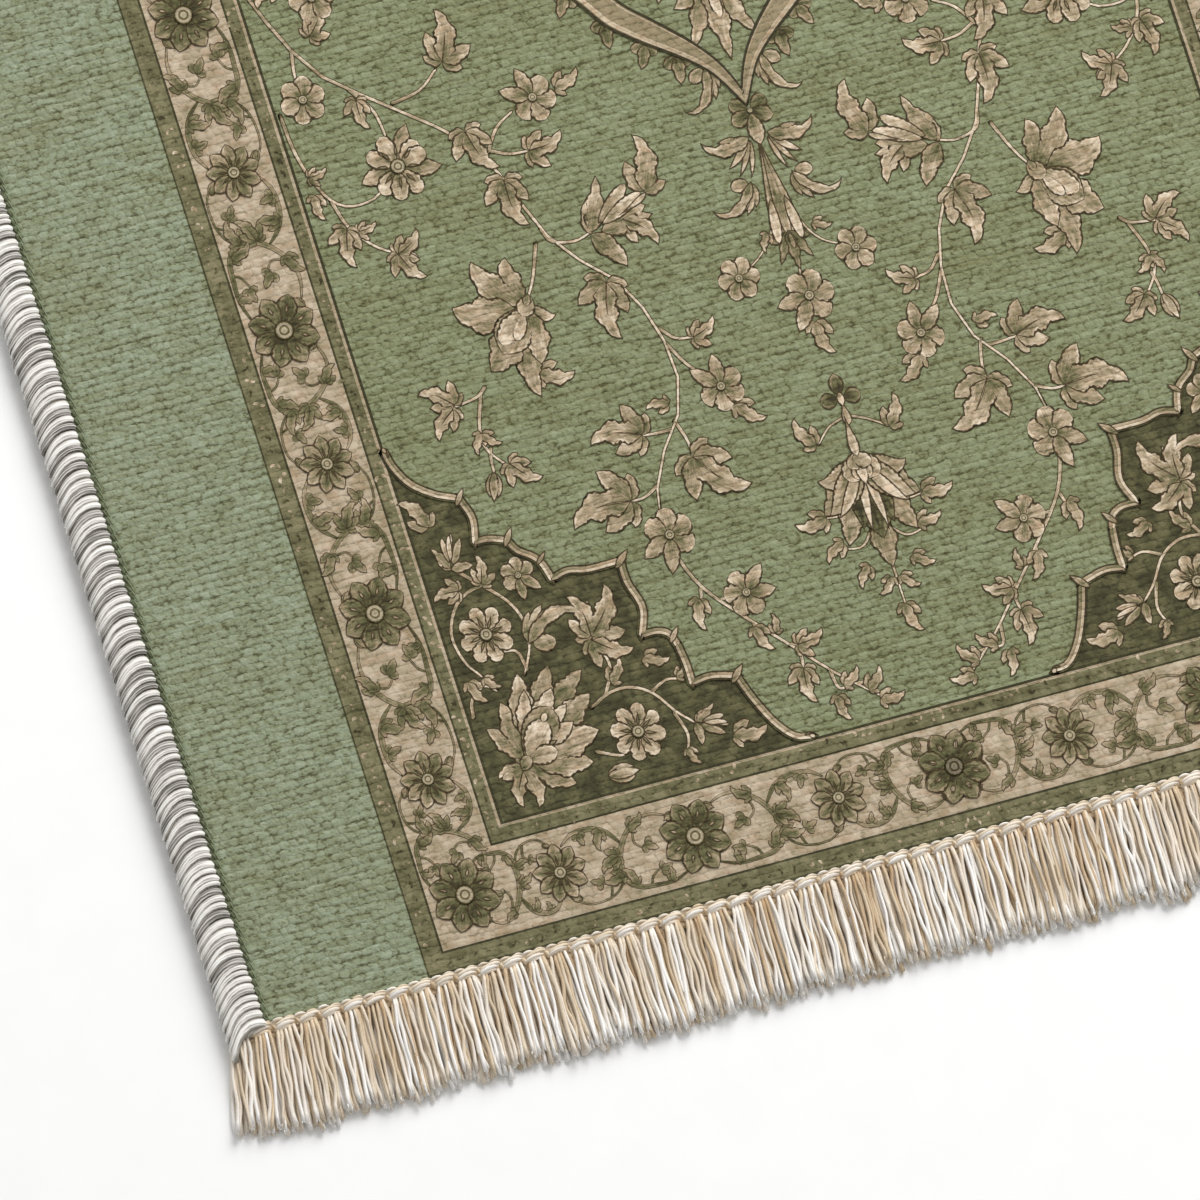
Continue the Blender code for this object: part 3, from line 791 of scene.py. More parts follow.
# a motif is a list of blades, size 1 overall: shape, angle in degrees, start, length, width, bend in
# radians, tone
motifKinds = {
    "leaf": [("lobe", 104, 0.0, 0.42, 0.3, -0.6, 0.6), ("lobe", -98, 0.0, 0.44, 0.32, 0.5, 0.6),
             ("lobe", 54, 0.0, 0.66, 0.4, -0.5, 0.64), ("lobe", -50, 0.0, 0.7, 0.42, 0.4, 0.62),
             ("leaf", 0, 0.0, 1.1, 0.54, 1.3, 0.7), ("spike", 4, 0.0, 0.6, 0.05, 0.3, 0.5)],
    "sprig": [("lobe", 52, 0.0, 0.6, 0.38, -0.5, 0.62), ("lobe", -58, 0.0, 0.46, 0.3, 0.4, 0.6),
              ("leaf", -4, 0.0, 1.06, 0.5, 1.4, 0.7)],
    "ivy": [("wavy", 62, 0.0, 0.6, 0.5, -0.3, 0.6), ("wavy", -62, 0.0, 0.6, 0.5, 0.3, 0.64),
            ("lobe", 0, 0.0, 1.0, 0.6, 0.3, 0.68)],
    "acanthus": [("petal", 54, 0.08, 0.46, 0.36, -0.6, 0.62), ("point", -34, 0.04, 0.6, 0.26, 0.4, 0.6),
                 ("point", -17, 0.1, 0.74, 0.26, 0.5, 0.62), ("point", -2, 0.22, 0.74, 0.26, 0.7, 0.64),
                 ("leaf", -4, 0.0, 1.5, 0.32, 2.2, 0.7)],
    "frond": [("ogive", -50, 0.1, 0.86, 0.14, 0.3, 0.76), ("ogive", -34, 0.1, 0.9, 0.16, 0.3, 0.66),
              ("ogive", -18, 0.12, 0.84, 0.2, 0.4, 0.74), ("point", 26, 0.3, 0.5, 0.22, 0.4, 0.6),
              ("leaf", 4, 0.04, 1.3, 0.4, 1.7, 0.66)],
    "spray": [("lobe", 44, 0.0, 0.3, 0.15, -0.2, 0.62), ("leaf", 22, 0.02, 0.5, 0.2, 0.3, 0.64),
              ("lobe", -86, 0.0, 0.42, 0.22, -0.5, 0.62), ("lobe", -36, 0.1, 0.5, 0.2, 0.0, 0.6),
              ("petal", -2, 0.12, 0.44, 0.13, 0.0, 0.74), ("petal", -16, 0.14, 0.46, 0.13, 0, 0.82),
              ("wedge", -22, 0.3, 0.34, 0.06, 0.3, 0.7)],
    "bud": fan("ogive", [20], 0.0, 0.86, 0.36, -0.6, 0.64) + [("ogive", 0, 0.0, 1.0, 0.36, 0.0, 0.72)],
    "tuft": fan("point", [60], 0.0, 0.6, 0.28, 0.3, 0.6) + fan("leaf", [28], 0.0, 0.92, 0.34, 0.1, 0.64)
            + [("leaf", 0, 0.0, 1.04, 0.36, 0, 0.66), ("petal", 4, 0.06, 0.44, 0.16, 0, 0.84)],
    "curl": [("petal", 30, 0.4, 0.56, 0.46, 0.8, 0.66), ("ogive", 0, 0.0, 0.8, 0.24, 0.5, 0.6)],
    "flower6": around("petal", 6, 0.12, 0.86, 0.82, 0.66),
    "leafFlower": around("wavy", 6, 0.1, 0.8, 0.84, 0.66)[:4]
                  + [("point", -120, 0.1, 1.12, 0.66, 0.15, 0.6),
                     ("point", -66, 0.1, 1.2, 0.66, -0.15, 0.64)],
    "rosette8": around("wavy", 8, 0.18, 0.82, 0.68, 0.72, 11) + around("spike", 8, 0.2, 0.46, 0.12, 0.46, 11),
    "dark8": around("tipped", 8, 0.2, 0.84, 0.66, 0.31, 11) + around("spike", 8, 0.5, 0.26, 0.1, 0.64, 11),
    "round8": around("tipped", 9, 0.16, 0.84, 0.58, 0.45) + around("spike", 9, 0.24, 0.36, 0.09, 0.22),
    "big": [("point", 152, 0.14, 1.12, 0.62, 0.2, 0.6), ("point", 28, 0.14, 1.16, 0.6, -0.2, 0.6),
            ("point", -52, 0.14, 1.2, 0.62, 0.3, 0.58), ("petal", -140, 0.14, 0.84, 0.6, 0, 0.58)]
           + [("wavy", turn, 0.14, 0.84, 0.62, 0, 0.72) for turn in (112, 70, 0, 186, -96, -20, 222)]
           + around("spike", 8, 0.3, 0.36, 0.1, 0.46),
    "palmette": [("ogive", 84, 0.0, 0.36, 0.17, 1.2, 0.62), ("plumed", -114, 0.04, 0.54, 0.32, -0.9, 0.62),
                 ("plumed", -84, 0.06, 0.72, 0.36, -0.9, 0.66), ("plumed", 26, 0.22, 0.78, 0.32, 0.7, 0.6),
                 ("plumed", 2, 0.2, 0.64, 0.46, -0.3, 0.6), ("plumed", -44, 0.12, 0.74, 0.46, -0.9, 0.66),
                 ("plumed", 46, 0.06, 0.58, 0.36, -0.3, 0.66), ("tipped", 0, 0.02, 0.58, 0.46, 0, 0.54),
                 ("wavy", -8, 0.04, 0.48, 0.28, 0.1, 0.8), ("petal", 10, 0.08, 0.32, 0.16, 0, 0.88),
                 ("petal", 0, -0.12, 0.24, 0.22, 0, 0.64), ("petal", 20, -0.14, 0.14, 0.1, 0, 0.5)],
    "peony": [("plumed", 74, 0.04, 0.46, 0.24, 0.3, 0.6), ("plumed", 48, 0.08, 0.54, 0.28, 0.1, 0.62),
              ("plumed", -90, 0.04, 0.5, 0.28, 0.3, 0.62), ("plumed", 11, 0.44, 0.54, 0.28, 0, 0.52),
              ("plumed", -4, 0.5, 0.6, 0.26, -0.3, 0.5), ("plumed", -18, 0.4, 0.56, 0.3, 0, 0.6),
              ("plumed", 29, 0.24, 0.62, 0.3, 0.1, 0.66), ("plumed", -62, 0.08, 0.6, 0.34, 0, 0.62),
              ("plumed", -38, 0.18, 0.64, 0.38, -0.1, 0.7), ("plumed", 26, 0.2, 0.5, 0.22, 0, 0.78),
              ("plumed", 5, 0.26, 0.52, 0.28, 0, 0.76), ("point", -10, 0.4, 0.32, 0.16, 0, 0.78),
              ("point", -24, 0.28, 0.36, 0.2, 0, 0.8), ("petal", 0, 0.02, 0.58, 0.38, 0, 0.46),
              ("petal", 0, 0.04, 0.42, 0.28, 0, 0.8), ("petal", -40, 0.02, 0.32, 0.2, -0.3, 0.68),
              ("petal", 2, 0.42, 0.1, 0.08, 0, 1.0), ("petal", 0, -0.1, 0.16, 0.14, 0, 0.56)],
    "lily": [("plumed", 0, 0.42, 0.53, 0.28, 0, 0.48)] + fan("plumed", [45], 0.14, 0.46, 0.28, 0.3, 0.52)
            + fan("plumed", [25], 0.18, 0.58, 0.3, 0.0, 0.58) + [("ogive", 0, 0.04, 0.66, 0.4, 0, 0.14)]
            + fan("ogive", [14], 0.04, 0.56, 0.24, 0, 0.12) + fan("spike", [9], 0.1, 0.54, 0.09, -0.16, 0.9)
            + fan("ogive", [52], 0.0, 0.46, 0.22, 1.4, 0.6) + fan("ogive", [34], 0.0, 0.58, 0.26, 0.6, 0.6)
            + fan("ogive", [29], 0.08, 0.48, 0.12, 0.5, 0.86)
            + fan("petal", [44], -0.04, 0.26, 0.22, -0.3, 0.7)
            + fan("petal", [22], -0.02, 0.2, 0.13, -0.1, 0.78) + [("ogive", 0, -0.02, 0.25, 0.12, 0, 0.9)]
            + fan("petal", [72], -0.06, 0.18, 0.15, -0.4, 0.66) + [("wedge", 0, -0.4, 0.38, 0.1, 0, 0.68)],
    "plume": fan("wedge", [5], 0.0, 0.98, 0.13, -0.05, 0.6) + [("wedge", 0, 0.0, 0.92, 0.11, 0, 0.5)]
             + fan("petal", [6.5], 0.56, 0.38, 0.1, 0, 0.86),
    "trefoil": [("tipped", 180, 0.14, 1.1, 0.8, 0, 0.26)] + fan("petal", [92], 0.14, 0.9, 0.8, 0, 0.28)
               + [("wedge", 0, 0.0, 1.3, 0.5, 0, 0.66), ("ogive", 0, -0.3, 0.7, 0.42, 0, 0.95)],
    "quatrefoil": fan("petal", [118], 0.08, 0.9, 0.74, 0.2, 0.32)
                  + fan("petal", [66], 0.08, 0.96, 0.74, 0.0, 0.34)
                  + [("tipped", 0, 0.1, 1.4, 0.84, 0, 0.66)],
    "cusp": [("ogive", 0, -0.5, 1.5, 0.5, 0, 0.62)],
    "mark": [("ogive", 30, 0.0, 0.8, 0.36, 1.6, 0.76), ("ogive", 210, 0.0, 0.8, 0.36, 1.6, 0.82)],
    "loop": [("ogive", 60, 0.0, 0.9, 0.36, 2.6, 0.8), ("ogive", 250, 0.1, 0.7, 0.36, -2.0, 0.7)],
}

# radius of the ring in the middle of a flower, as a share of its size
heartShares = {"flower6": 0.2, "leafFlower": 0.18, "rosette8": 0.24, "dark8": 0.29, "round8": 0.24,
               "big": 0.24, "quatrefoil": 0.13}


def strips(path, half, height, tone, place=(0, 0), stretch=1.0, thin=1.0):
    # three rows of points, left, ridge and right of the path, the ridge a little up: quads above and
    # quads below. The ridge's two ends reach past the path, which points the tips. rim is the distance
    # from the edge in mm, times thin; shade = tone + 0.14 u - 0.26 (1 - u)^2.2, a little darker on the
    # ridge
    count, steps = path.shape[:2]
    half = np.broadcast_to(half, (count, steps))
    height, tone = (np.broadcast_to(value, count)[:, None, None] for value in (height, tone))
    forward = np.gradient(path, axis=1)
    forward /= np.linalg.norm(forward, axis=2, keepdims=True)
    normal = np.stack([-forward[..., 1], forward[..., 0]], -1)
    ridge = path.copy()
    ridge[:, 0] -= forward[:, 0] * half[:, :1] * pattern["tips"][0]
    ridge[:, -1] += forward[:, -1] * half[:, -1:] * pattern["tips"][1]
    flat = np.stack([path + normal * half[..., None], ridge, path - normal * half[..., None]], 2)
    flat = flat * (1, stretch) + np.broadcast_to(place, (count, 2))[:, None, None]
    z = np.zeros((count, steps, 3)) + height
    z[:, 1:-1, 1] += pattern["ridge"]
    rim = np.zeros((count, steps, 3))
    rim[:, 1:-1, 1] = half[:, 1:-1] * thin
    u = np.linspace(0, 1, steps)[None, :, None]
    shade = tone + 0.14 * u - 0.26 * (1 - u) ** 2.2 + np.array([0.07, -0.06, 0.03])
    across = np.stack([half, 0 * half, -half], 2)
    spacing = np.linalg.norm(np.diff(path, axis=1, prepend=path[:, :1]), axis=2)
    along = np.cumsum(spacing, 1)[..., None] + 0 * across + 37 * height
    index = np.arange(count * steps * 3).reshape(count, steps, 3)
    left, centre, right = index[..., 0], index[..., 1], index[..., 2]
    quads = [np.stack(corners, -1).reshape(-1, 4) for corners in (
        (left[:, :-1], centre[:, :-1], centre[:, 1:], left[:, 1:]),
        (centre[:, :-1], right[:, :-1], right[:, 1:], centre[:, 1:]),
        (left[:, :-1], left[:, 1:], right[:, 1:], right[:, :-1]))]
    ends = np.concatenate([np.stack([left[:, 0], right[:, 0], centre[:, 0]], -1),
                           np.stack([left[:, -1], centre[:, -1], right[:, -1]], -1)])
    points = np.concatenate([flat, z[..., None]], -1).reshape(-1, 3) * mm
    return points, [np.concatenate(quads), ends], np.stack([rim, shade, across, along], -1).reshape(-1, 4)


def blades(rows, steps, thin):
    # the middle line leaves its base at the angle and turns by bend, mostly near the tip; half-width =
    # width / 2 * sin(pi u^swell)^blunt * (1 - u^4)^taper * (1 - bite * (1 - lobe)), where lobe = sin(pi
    # f^1.5)^0.7 over each share f of the length
    columns = np.asarray(rows, float).T[:, :, None]
    centreX, centreY, baseX, baseY, angle, length, width, bend = columns[:8]
    swell, blunt, teeth, bite, taper, tone, height = columns[8:]
    u = np.linspace(0, 1, steps + 1)[None]
    between = (u[:, 1:] + u[:, :-1]) / 2
    heading = angle + bend * (0.3 * between + 0.7 * between ** 3)
    start = np.zeros((len(rows), 1))
    x = baseX + np.concatenate([start, np.cumsum(np.cos(heading), 1)], 1) * length / steps
    y = baseY + np.concatenate([start, np.cumsum(np.sin(heading), 1)], 1) * length / steps
    half = width / 2 * np.sin(np.pi * np.clip(u ** swell, 0, 1)).clip(0, 1) ** blunt * (1 - u ** 4) ** taper
    lobe = np.sin(np.pi * (teeth * u * 0.9999 % 1.0) ** 1.5).clip(0, 1) ** 0.7
    half = half * (1 - bite * (1 - lobe) * (teeth > 0)) + 0.1
    place = np.concatenate([centreX, centreY], 1)
    return strips(np.stack([x, y], -1), half, height[:, 0], tone[:, 0], place, pattern["stretch"], thin)


def motifs(placements, height, steps=13, thin=1.0):
    # each placement (kind, x, y, angle, size, tone shift): its kind's blades turned, scaled and moved
    # there, and mirrored where its size is negative
    rows = []
    for kind, x, y, angle, size, *shift in placements:
        flip = -1 if size < 0 else 1
        size = abs(size)
        aim = math.atan2(math.sin(math.radians(angle)) / pattern["stretch"], math.cos(math.radians(angle)))
        for order, (shape, turn, start, length, width, bend, tone) in enumerate(motifKinds[kind]):
            a = aim + math.radians(turn) * flip
            rows.append((x, y, math.cos(a) * start * size, math.sin(a) * start * size, a, length * size,
                         width * size, bend * flip, *bladeShapes[shape], tone + (shift[0] if shift else 0),
                         height + order * pattern["step"]))
    return blades(rows, steps, thin)


def smoothPath(points, samples):
    # a Catmull-Rom curve through the points, sampled evenly by length
    p = np.asarray(points, float)
    p = np.concatenate([2 * p[:1] - p[1:2], p, 2 * p[-1:] - p[-2:-1]])
    t = np.linspace(0, 1, 12, endpoint=False)[None, :, None]
    a, b, c, d = (p[i:len(p) - 3 + i, None] for i in range(4))
    square = (2 * a - 5 * b + 4 * c - d) * t ** 2
    curve = 0.5 * (2 * b + (c - a) * t + square + (3 * b - a - 3 * c + d) * t ** 3)
    curve = np.concatenate([curve.reshape(-1, 2), p[-2:-1]])
    along = np.concatenate([[0], np.cumsum(np.linalg.norm(np.diff(curve, axis=0), axis=1))])
    at = np.linspace(0, along[-1], samples)
    return np.stack([np.interp(at, along, curve[:, k]) for k in (0, 1)], -1)


def stems(paths, width, height, tone=0.84, swelling=False):
    # thin curved stems: width in mm, a little thinner towards the far end, or swelling like sin(pi u)
    # in the middle
    curves = np.stack([smoothPath(p, pattern["stemSteps"]) for p in paths])
    u = np.linspace(0, 1, pattern["stemSteps"])
    taper = 0.3 + 0.7 * np.sin(np.pi * u) ** 0.8 if swelling else 1 - 0.25 * u
    return strips(curves, width / 2 * taper, height, tone, thin=1.5)


def hearts(placements, height):
    # a ring: a fan of triangles over one flat face; rim is 1 in the middle and 0 at the edge
    sides = pattern["ringSides"]
    rows = np.array([(row[1], row[2], abs(row[4]) * heartShares[row[0]]) for row in placements
                     if row[0] in heartShares])
    turn = 2 * np.pi * np.arange(sides) / sides
    edge = rows[:, None, :2] + rows[:, None, 2:] * np.stack([np.cos(turn), np.sin(turn) * 1.1], -1)
    flat = np.concatenate([rows[:, None, :2], edge], 1)
    z = np.full(flat.shape[:2] + (1,), height)
    z[:, 0] += pattern["ridge"]
    index = np.arange(flat.shape[0] * (sides + 1)).reshape(-1, sides + 1)
    rims = index[:, 1:]
    above = np.stack([np.repeat(index[:, :1], sides, 1), rims, np.roll(rims, -1, 1)], -1).reshape(-1, 3)
    extra = np.zeros(flat.shape[:2] + (4,))
    extra[:, 0, 0] = 1.0
    points = np.concatenate([flat, z], -1).reshape(-1, 3) * mm
    return points, [above, rims[:, ::-1]], extra.reshape(-1, 4)


def slabs(near, far, height, tone):
    # a thin closed area between two lines with equally many points, each row of quads from one to the other
    steps = len(near)
    level = np.full((steps, 1), height)
    rows = [np.concatenate([line, level - sink], 1) for sink in (0, pattern["ridge"]) for line in (near, far)]
    a, b, c, d = np.arange(4 * steps).reshape(4, steps)
    here, onward = slice(None, -1), slice(1, None)
    quads = [np.stack([p[i], q[i], q[j], p[j]], -1) for p, q, i, j in (
        (a, b, here, onward), (c, d, onward, here), (a, c, onward, here), (b, d, here, onward))]
    ends = np.array([[line[0] for line in (a, c, d, b)], [line[-1] for line in (a, b, d, c)]])
    extra = np.tile([pattern["solid"], tone, 0.0, 0.0], (4 * steps, 1))
    return np.concatenate(rows) * mm, [np.concatenate(quads + [ends])], extra


def frames(rows, height):
    # flat closed rings between two rectangles: half-sizes outside, half-sizes inside, tone, lift
    corner = np.array([(-1, -1), (1, -1), (1, 1), (-1, 1)])
    here = np.arange(4)
    onward = (here + 1) % 4
    # each row of quads joins two of the four rectangles, which start at points 0, 4, 8 and 12
    quads = np.concatenate([np.stack([here + i, onward + i, onward + j, here + j], -1)
                            for i, j in ((0, 4), (12, 8), (8, 0), (4, 12))])
    parts = []
    for outX, outY, inX, inY, tone, lift in rows:
        flat = np.concatenate([corner * (outX, outY), corner * (inX, inY)] * 2)
        z = np.repeat([height + lift, height + lift - pattern["ridge"]], 8)[:, None]
        extra = np.tile([pattern["solid"], tone, 0.0, 0.0], (16, 1))
        parts.append((np.concatenate([flat, z], 1) * mm, [quads], extra))
    return joined(parts)


def mirrored(part, signX, signY):
    # an odd number of mirrorings turns every face's corners round
    faces = [f[:, ::-1] for f in part[1]] if signX * signY < 0 else part[1]
    return part[0] * (signX, signY, 1), faces, part[2]


def quarters(part, middle=0.0):
    # the part and its mirror images about x = middle and y = 0
    shift = np.array([middle, 0, 0]) * mm
    moved = (part[0] - shift, part[1], part[2])
    whole = joined([mirrored(moved, sx, sy) for sx, sy in ((1, 1), (-1, 1), (1, -1), (-1, -1))])
    return whole[0] + shift, whole[1], whole[2]


def bothEnds(part):
    # the part and its mirror image about y = 0
    return joined([part, mirrored(part, 1, -1)])


# colours, spread of the pile's tone, width in mm of the dark yarn round a motif, uptake, veins, glow
dyedKinds = {
    "dyedChenilleGround": ("groundInk", 0.2, 0.0, 0.09, 0.0, 0.1),
    "dyedChenilleMotif": ("ink", 0.26, 0.6, 0.13, 0.16, 0.08),
    "dyedChenilleScroll": ("ink", 0.26, 0.4, 0.1, 0.04, 0.08),
    "dyedChenilleLine": ("ink", 0.2, 0.6, 0.02, 0.03, 0.02),
}

dyes = {
    "outline": "#473a22",
    "blush": "#ecd9ca",
    "wander": 0.5,          # mm that the dark yarn's edge wanders
    "soft": 0.16,           # mm over which it fades, each way
    "toothPitch": 2.6,      # mm along a wide blade
    "ring": [(0.1, "#4a4226"), (0.2, "#4a4226"), (0.28, "#a0947a"), (0.48, "#b0a48a"), (0.56, "#5a5135"),
             (0.68, "#6a6042"), (0.8, "#b4a88c"), (1.0, "#a0947a")],
}


def dyedPile(name):
    # chenille pile dyed in the yarn: the colour sits in the same knobs as the plain ground, a darker
    # yarn runs round each motif and wanders with them, and every knob takes the dye a little
    # differently: level = shade + spread * (tone - 0.5) + vein + uptake + glow, which picks the colour;
    # the gaps between the knobs carry painted shade
    ink, spread, edge, uptakeSpan, veinSpan, glowSpan = dyedKinds[name]
    material, add = newMaterial(name)
    parts = chenilleWeave(add, True)
    place = parts["place"]
    tone = wovenTone(add, parts)
    rim, shade, across, along = (add("Attribute", attribute_name=key).outputs["Fac"]
                                 for key in ("rim", "shade", "across", "along"))
    loose = add("TexNoise", Vector=place, Scale=520.0, Detail=2.0, noise_dimensions="2D")
    wander = add("Math.MULTIPLY_ADD", loose, dyes["wander"], rim)
    # the dark yarn bites into the wider blades at every tooth, which makes their edges toothed
    tooth = add("Math.PINGPONG", along, dyes["toothPitch"] / 2)
    wide = add("MapRange", add("Math.ABSOLUTE", across), 1.3, 3.2, None, -0.5)
    wander = add("Math.MULTIPLY_ADD", tooth, wide, wander)
    edge += dyes["wander"] / 2
    inside = add("MapRange", wander, edge - dyes["soft"], edge + dyes["soft"])
    # veins: noise drawn out along the blade
    blade = add("CombineXYZ", add("Math.MULTIPLY", across, 0.9), add("Math.MULTIPLY", along, 0.16))
    veins = add("TexNoise", Vector=blade, Scale=1.0, Detail=3.0, Roughness=0.6, noise_dimensions="2D")
    vein = add("MapRange", veins, 0.3, 0.7, -veinSpan, veinSpan)
    # some petals took more dye than others, and the pile stands lighter just inside the dark yarn
    uneven = add("TexNoise", Vector=place, Scale=110.0, Detail=2.0, noise_dimensions="2D")
    uptake = add("MapRange", uneven, 0.32, 0.68, -uptakeSpan, uptakeSpan)
    glow = add("MapRange", wander, edge + 0.1, edge + 1.35, glowSpan, -0.4 * glowSpan)
    level = add("Math.ADD", add("Math.MULTIPLY_ADD", tone, spread, shade), vein)
    level = add("Math.SUBTRACT", level, 0.5 * spread)
    level = add("Math.ADD", add("Math.ADD", level, uptake), glow)
    dyed = add("ValToRGB", Fac=level, stops=pattern[ink])
    # some weft yarns in the light areas are browner and pinker
    rosy = add("MapRange", drawnOut(add, place, (150, 240, 1), 3.0), 0.46, 0.66, None, 0.55)
    blush = add("Math.MULTIPLY", rosy, add("MapRange", level, 0.4, 0.65))
    dyed = add("Mix", {0: blush, 6: dyed, 7: toLinear(dyes["blush"])}, data_type="RGBA",
               blend_type="MULTIPLY").outputs[2]
    drawn = add("Mix", {0: inside, 6: toLinear(dyes["outline"]), 7: dyed}, data_type="RGBA").outputs[2]
    # painted shade: darker still where the tone is low, mostly in the gaps between the knobs
    gaps = add("MapRange", tone, None, 0.4, 0.76, 1.0)
    dyeAndPaintedShade = add("Mix", {0: 1.0, 6: drawn, 7: gaps}, data_type="RGBA", blend_type="MULTIPLY").outputs[2]
    fibreSurface(add, dyeAndPaintedShade, parts["height"], bump=0.7, roughness=0.92, specular=0.15, sheen=0.1,
                 sheenRoughness=0.6)
    return material


def loopedPile():
    # the rings in the flowers: one loop of undyed pile round a dark knot, light ring on a dark edge
    material, add = newMaterial("loopedPile")
    parts = chenilleWeave(add, True)
    rim = add("Attribute", attribute_name="rim").outputs["Fac"]
    mottle = add("Math.MULTIPLY_ADD", parts["pile"], 0.12, rim)
    colour = add("ValToRGB", Fac=mottle, stops=dyes["ring"])
    fibreSurface(add, colour, parts["height"], bump=1.0, roughness=0.92, specular=0.15)
    return material


# the field: one long vine on each side, with twigs, leaf clusters, flowers and a palmette. A stem is its
# points; a motif is its kind, x, y, angle, size (below 0 when mirrored) and perhaps a shift of tone
fieldStems = [
    [(-155.2, -304), (-156.4, -309), (-157, -316)],
    [(-196, 20), (-206, -20), (-197, -60), (-182, -97), (-167, -114), (-147, -132), (-121, -157),
     (-110, -184), (-103, -206), (-91, -225), (-76, -242), (-67, -266), (-64, -291), (-70, -313), (-81, -328),
     (-89, -345), (-92, -363)],
    [(-92, -363), (-89, -382), (-82, -399), (-66, -420), (-52, -437), (-37, -455), (-19, -473)],
    [(-200, -118), (-199, -136), (-196, -151), (-190, -165), (-182, -171), (-170, -170), (-163, -163)],
    [(-190, -165), (-186, -180), (-178, -192), (-168, -200)], [(-167, -114), (-159, -128), (-157, -142)],
    [(-150, -127), (-136, -124), (-126, -116)], [(-115, -163), (-108, -152), (-99, -146)],
    [(-114, -162), (-106, -166), (-97, -167)], [(-107, -212), (-113, -228), (-119, -239)],
    [(-103, -205), (-100, -213), (-90, -216), (-82, -214)], [(-149, -274), (-154, -278), (-165, -280)],
    [(-152, -277), (-157, -293), (-157, -304), (-150, -315)], [(-66, -268), (-60, -275), (-52, -277)],
    [(-65, -276), (-58, -290), (-50, -298)], [(-74, -318), (-82, -318), (-90, -317)],
    [(-72, -314), (-69, -326), (-69, -336)], [(-88, -343), (-96, -347), (-104, -347)],
    [(-186, -88), (-188, -100), (-188, -108)], [(-78, -405), (-70, -405), (-66, -403)],
    [(-84, -397), (-86, -405)], [(-66, -420), (-66, -427)], [(-54, -435), (-48, -436)],
    [(-50, -440), (-51, -450)], [(-40, -452), (-38, -462), (-30, -460)], [(-30, -462), (-24, -462)],
    [(-176, 8), (-166, -14), (-170, -38), (-182, -52)], [(-166, -14), (-156, -24), (-152, -40)],
]
fieldLeaves = [
    ("flower6", -188, -114, -106, 11), ("big", -156, -158, 40, 15), ("palmette", -120, -241, -130, 40),
    ("leaf", -165, -121, -100, 13), ("leaf", -122, -113, 62, 22), ("leaf", -122, -150, -84, 20),
    ("leafFlower", -88, -142, -132, 12), ("sprig", -77, -140, 8, 14), ("leaf", -97, -167, -6, 17),
    ("leaf", -112, -178, -98, 21), ("spray", -82, -215, 44, 50), ("sprig", -53, -201, 66, 25),
    ("leaf", -66, -212, -30, -18), ("leaf", -82, -240, -112, 24), ("sprig", -124, -274, -36, 17),
    ("leaf", -196, -152, -6, 9), ("sprig", -196, -161, -100, 12), ("leaf", -182, -184, -8, 9),
    ("leaf", -187, -182, -112, 16), ("leaf", -168, -200, 18, 14), ("leaf", -168, -200, -76, 15),
    ("leaf", -165, -279, 125, 16), ("leaf", -166, -281, -150, 15), ("sprig", -157, -296, -130, 10),
    ("sprig", -157, -296, -60, 10), ("leaf", -149, -314, -60, 15), ("bud", -157, -316, -106, 13),
    ("leafFlower", -47, -304, -150, 12), ("sprig", -43, -314, -60, 15), ("leaf", -52, -277, 10, 13),
    ("leaf", -88, -317, 150, 23), ("sprig", -72, -306, 155, 11), ("leaf", -69, -334, -64, 27),
    ("leaf", -102, -347, 166, 28), ("leafFlower", -90, -368, -40, 13), ("leafFlower", -65, -405, 110, 11.5),
    ("sprig", -86, -402, -112, 14), ("sprig", -66, -422, -84, 13), ("leaf", -50, -436, -4, 13),
    ("leaf", -51, -448, -104, 15), ("sprig", -36, -461, 22, 11), ("sprig", -40, -465, -94, 12),
    ("sprig", -26, -466, 32, 12), ("sprig", -22, -472, -18, 12), ("sprig", -58, -428, 70, 9),
    ("leaf", -176, -84, 40, 14), ("leaf", -152, -42, -80, 18), ("leaf", -184, -54, 200, 14),
    ("bud", -160, -20, 30, 12), ("flower6", -170, -66, 0, 11),
]

# hanging on the middle line: drawn once at each end
pendantStems = [
    [(1, -222), (-4, -238), (-12, -247), (-19, -252)], [(7, -222), (12, -238), (18, -247), (27, -252)],
    [(2, -334), (-6, -337), (-13, -344)], [(4, -334), (12, -338), (20, -344)],
    [(-4, -372), (-13, -380), (-21, -380)], [(8, -372), (17, -380), (25, -380)],
    [(-3, -392), (-9, -398), (-20, -396)], [(6, -392), (13, -398), (23, -396)], [(3, -262), (4, -256)],
    [(2, -404), (2, -432)],
]
pendantMotifs = [
    ("frond", 1, -188, 212, -19), ("frond", 8, -188, -32, 19), ("acanthus", -5, -210, 240, -18),
    ("acanthus", 14, -210, -60, 18), ("plume", 4, -187, -90, 52), ("tuft", 4, -238, -90, 17, -0.24),
    ("sprig", -5, -237, 230, 9), ("sprig", 16, -237, -40, 9), ("leafFlower", 4, -272, -60, 13),
    ("sprig", 3, -285, -92, 16), ("flower6", -24, -255, 0, 10), ("flower6", 31, -255, 0, 10),
    ("quatrefoil", 4.5, -176, -90, 10), ("trefoil", 3, -325, -90, 9), ("sprig", -14, -344, 130, -15),
    ("sprig", 20, -344, 50, 15), ("lily", 2, -356, -90, 50), ("sprig", -20, -380, 200, -15),
    ("sprig", 25, -379, -20, 15), ("sprig", -16, -394, 200, 12), ("sprig", 19, -393, -10, 12),
    ("sprig", -8, -408, 220, 11), ("sprig", 12, -408, -50, 11), ("sprig", 2, -430, -90, 14),
    ("sprig", 0, -416, 240, -10), ("sprig", 4, -416, -60, 10),
]

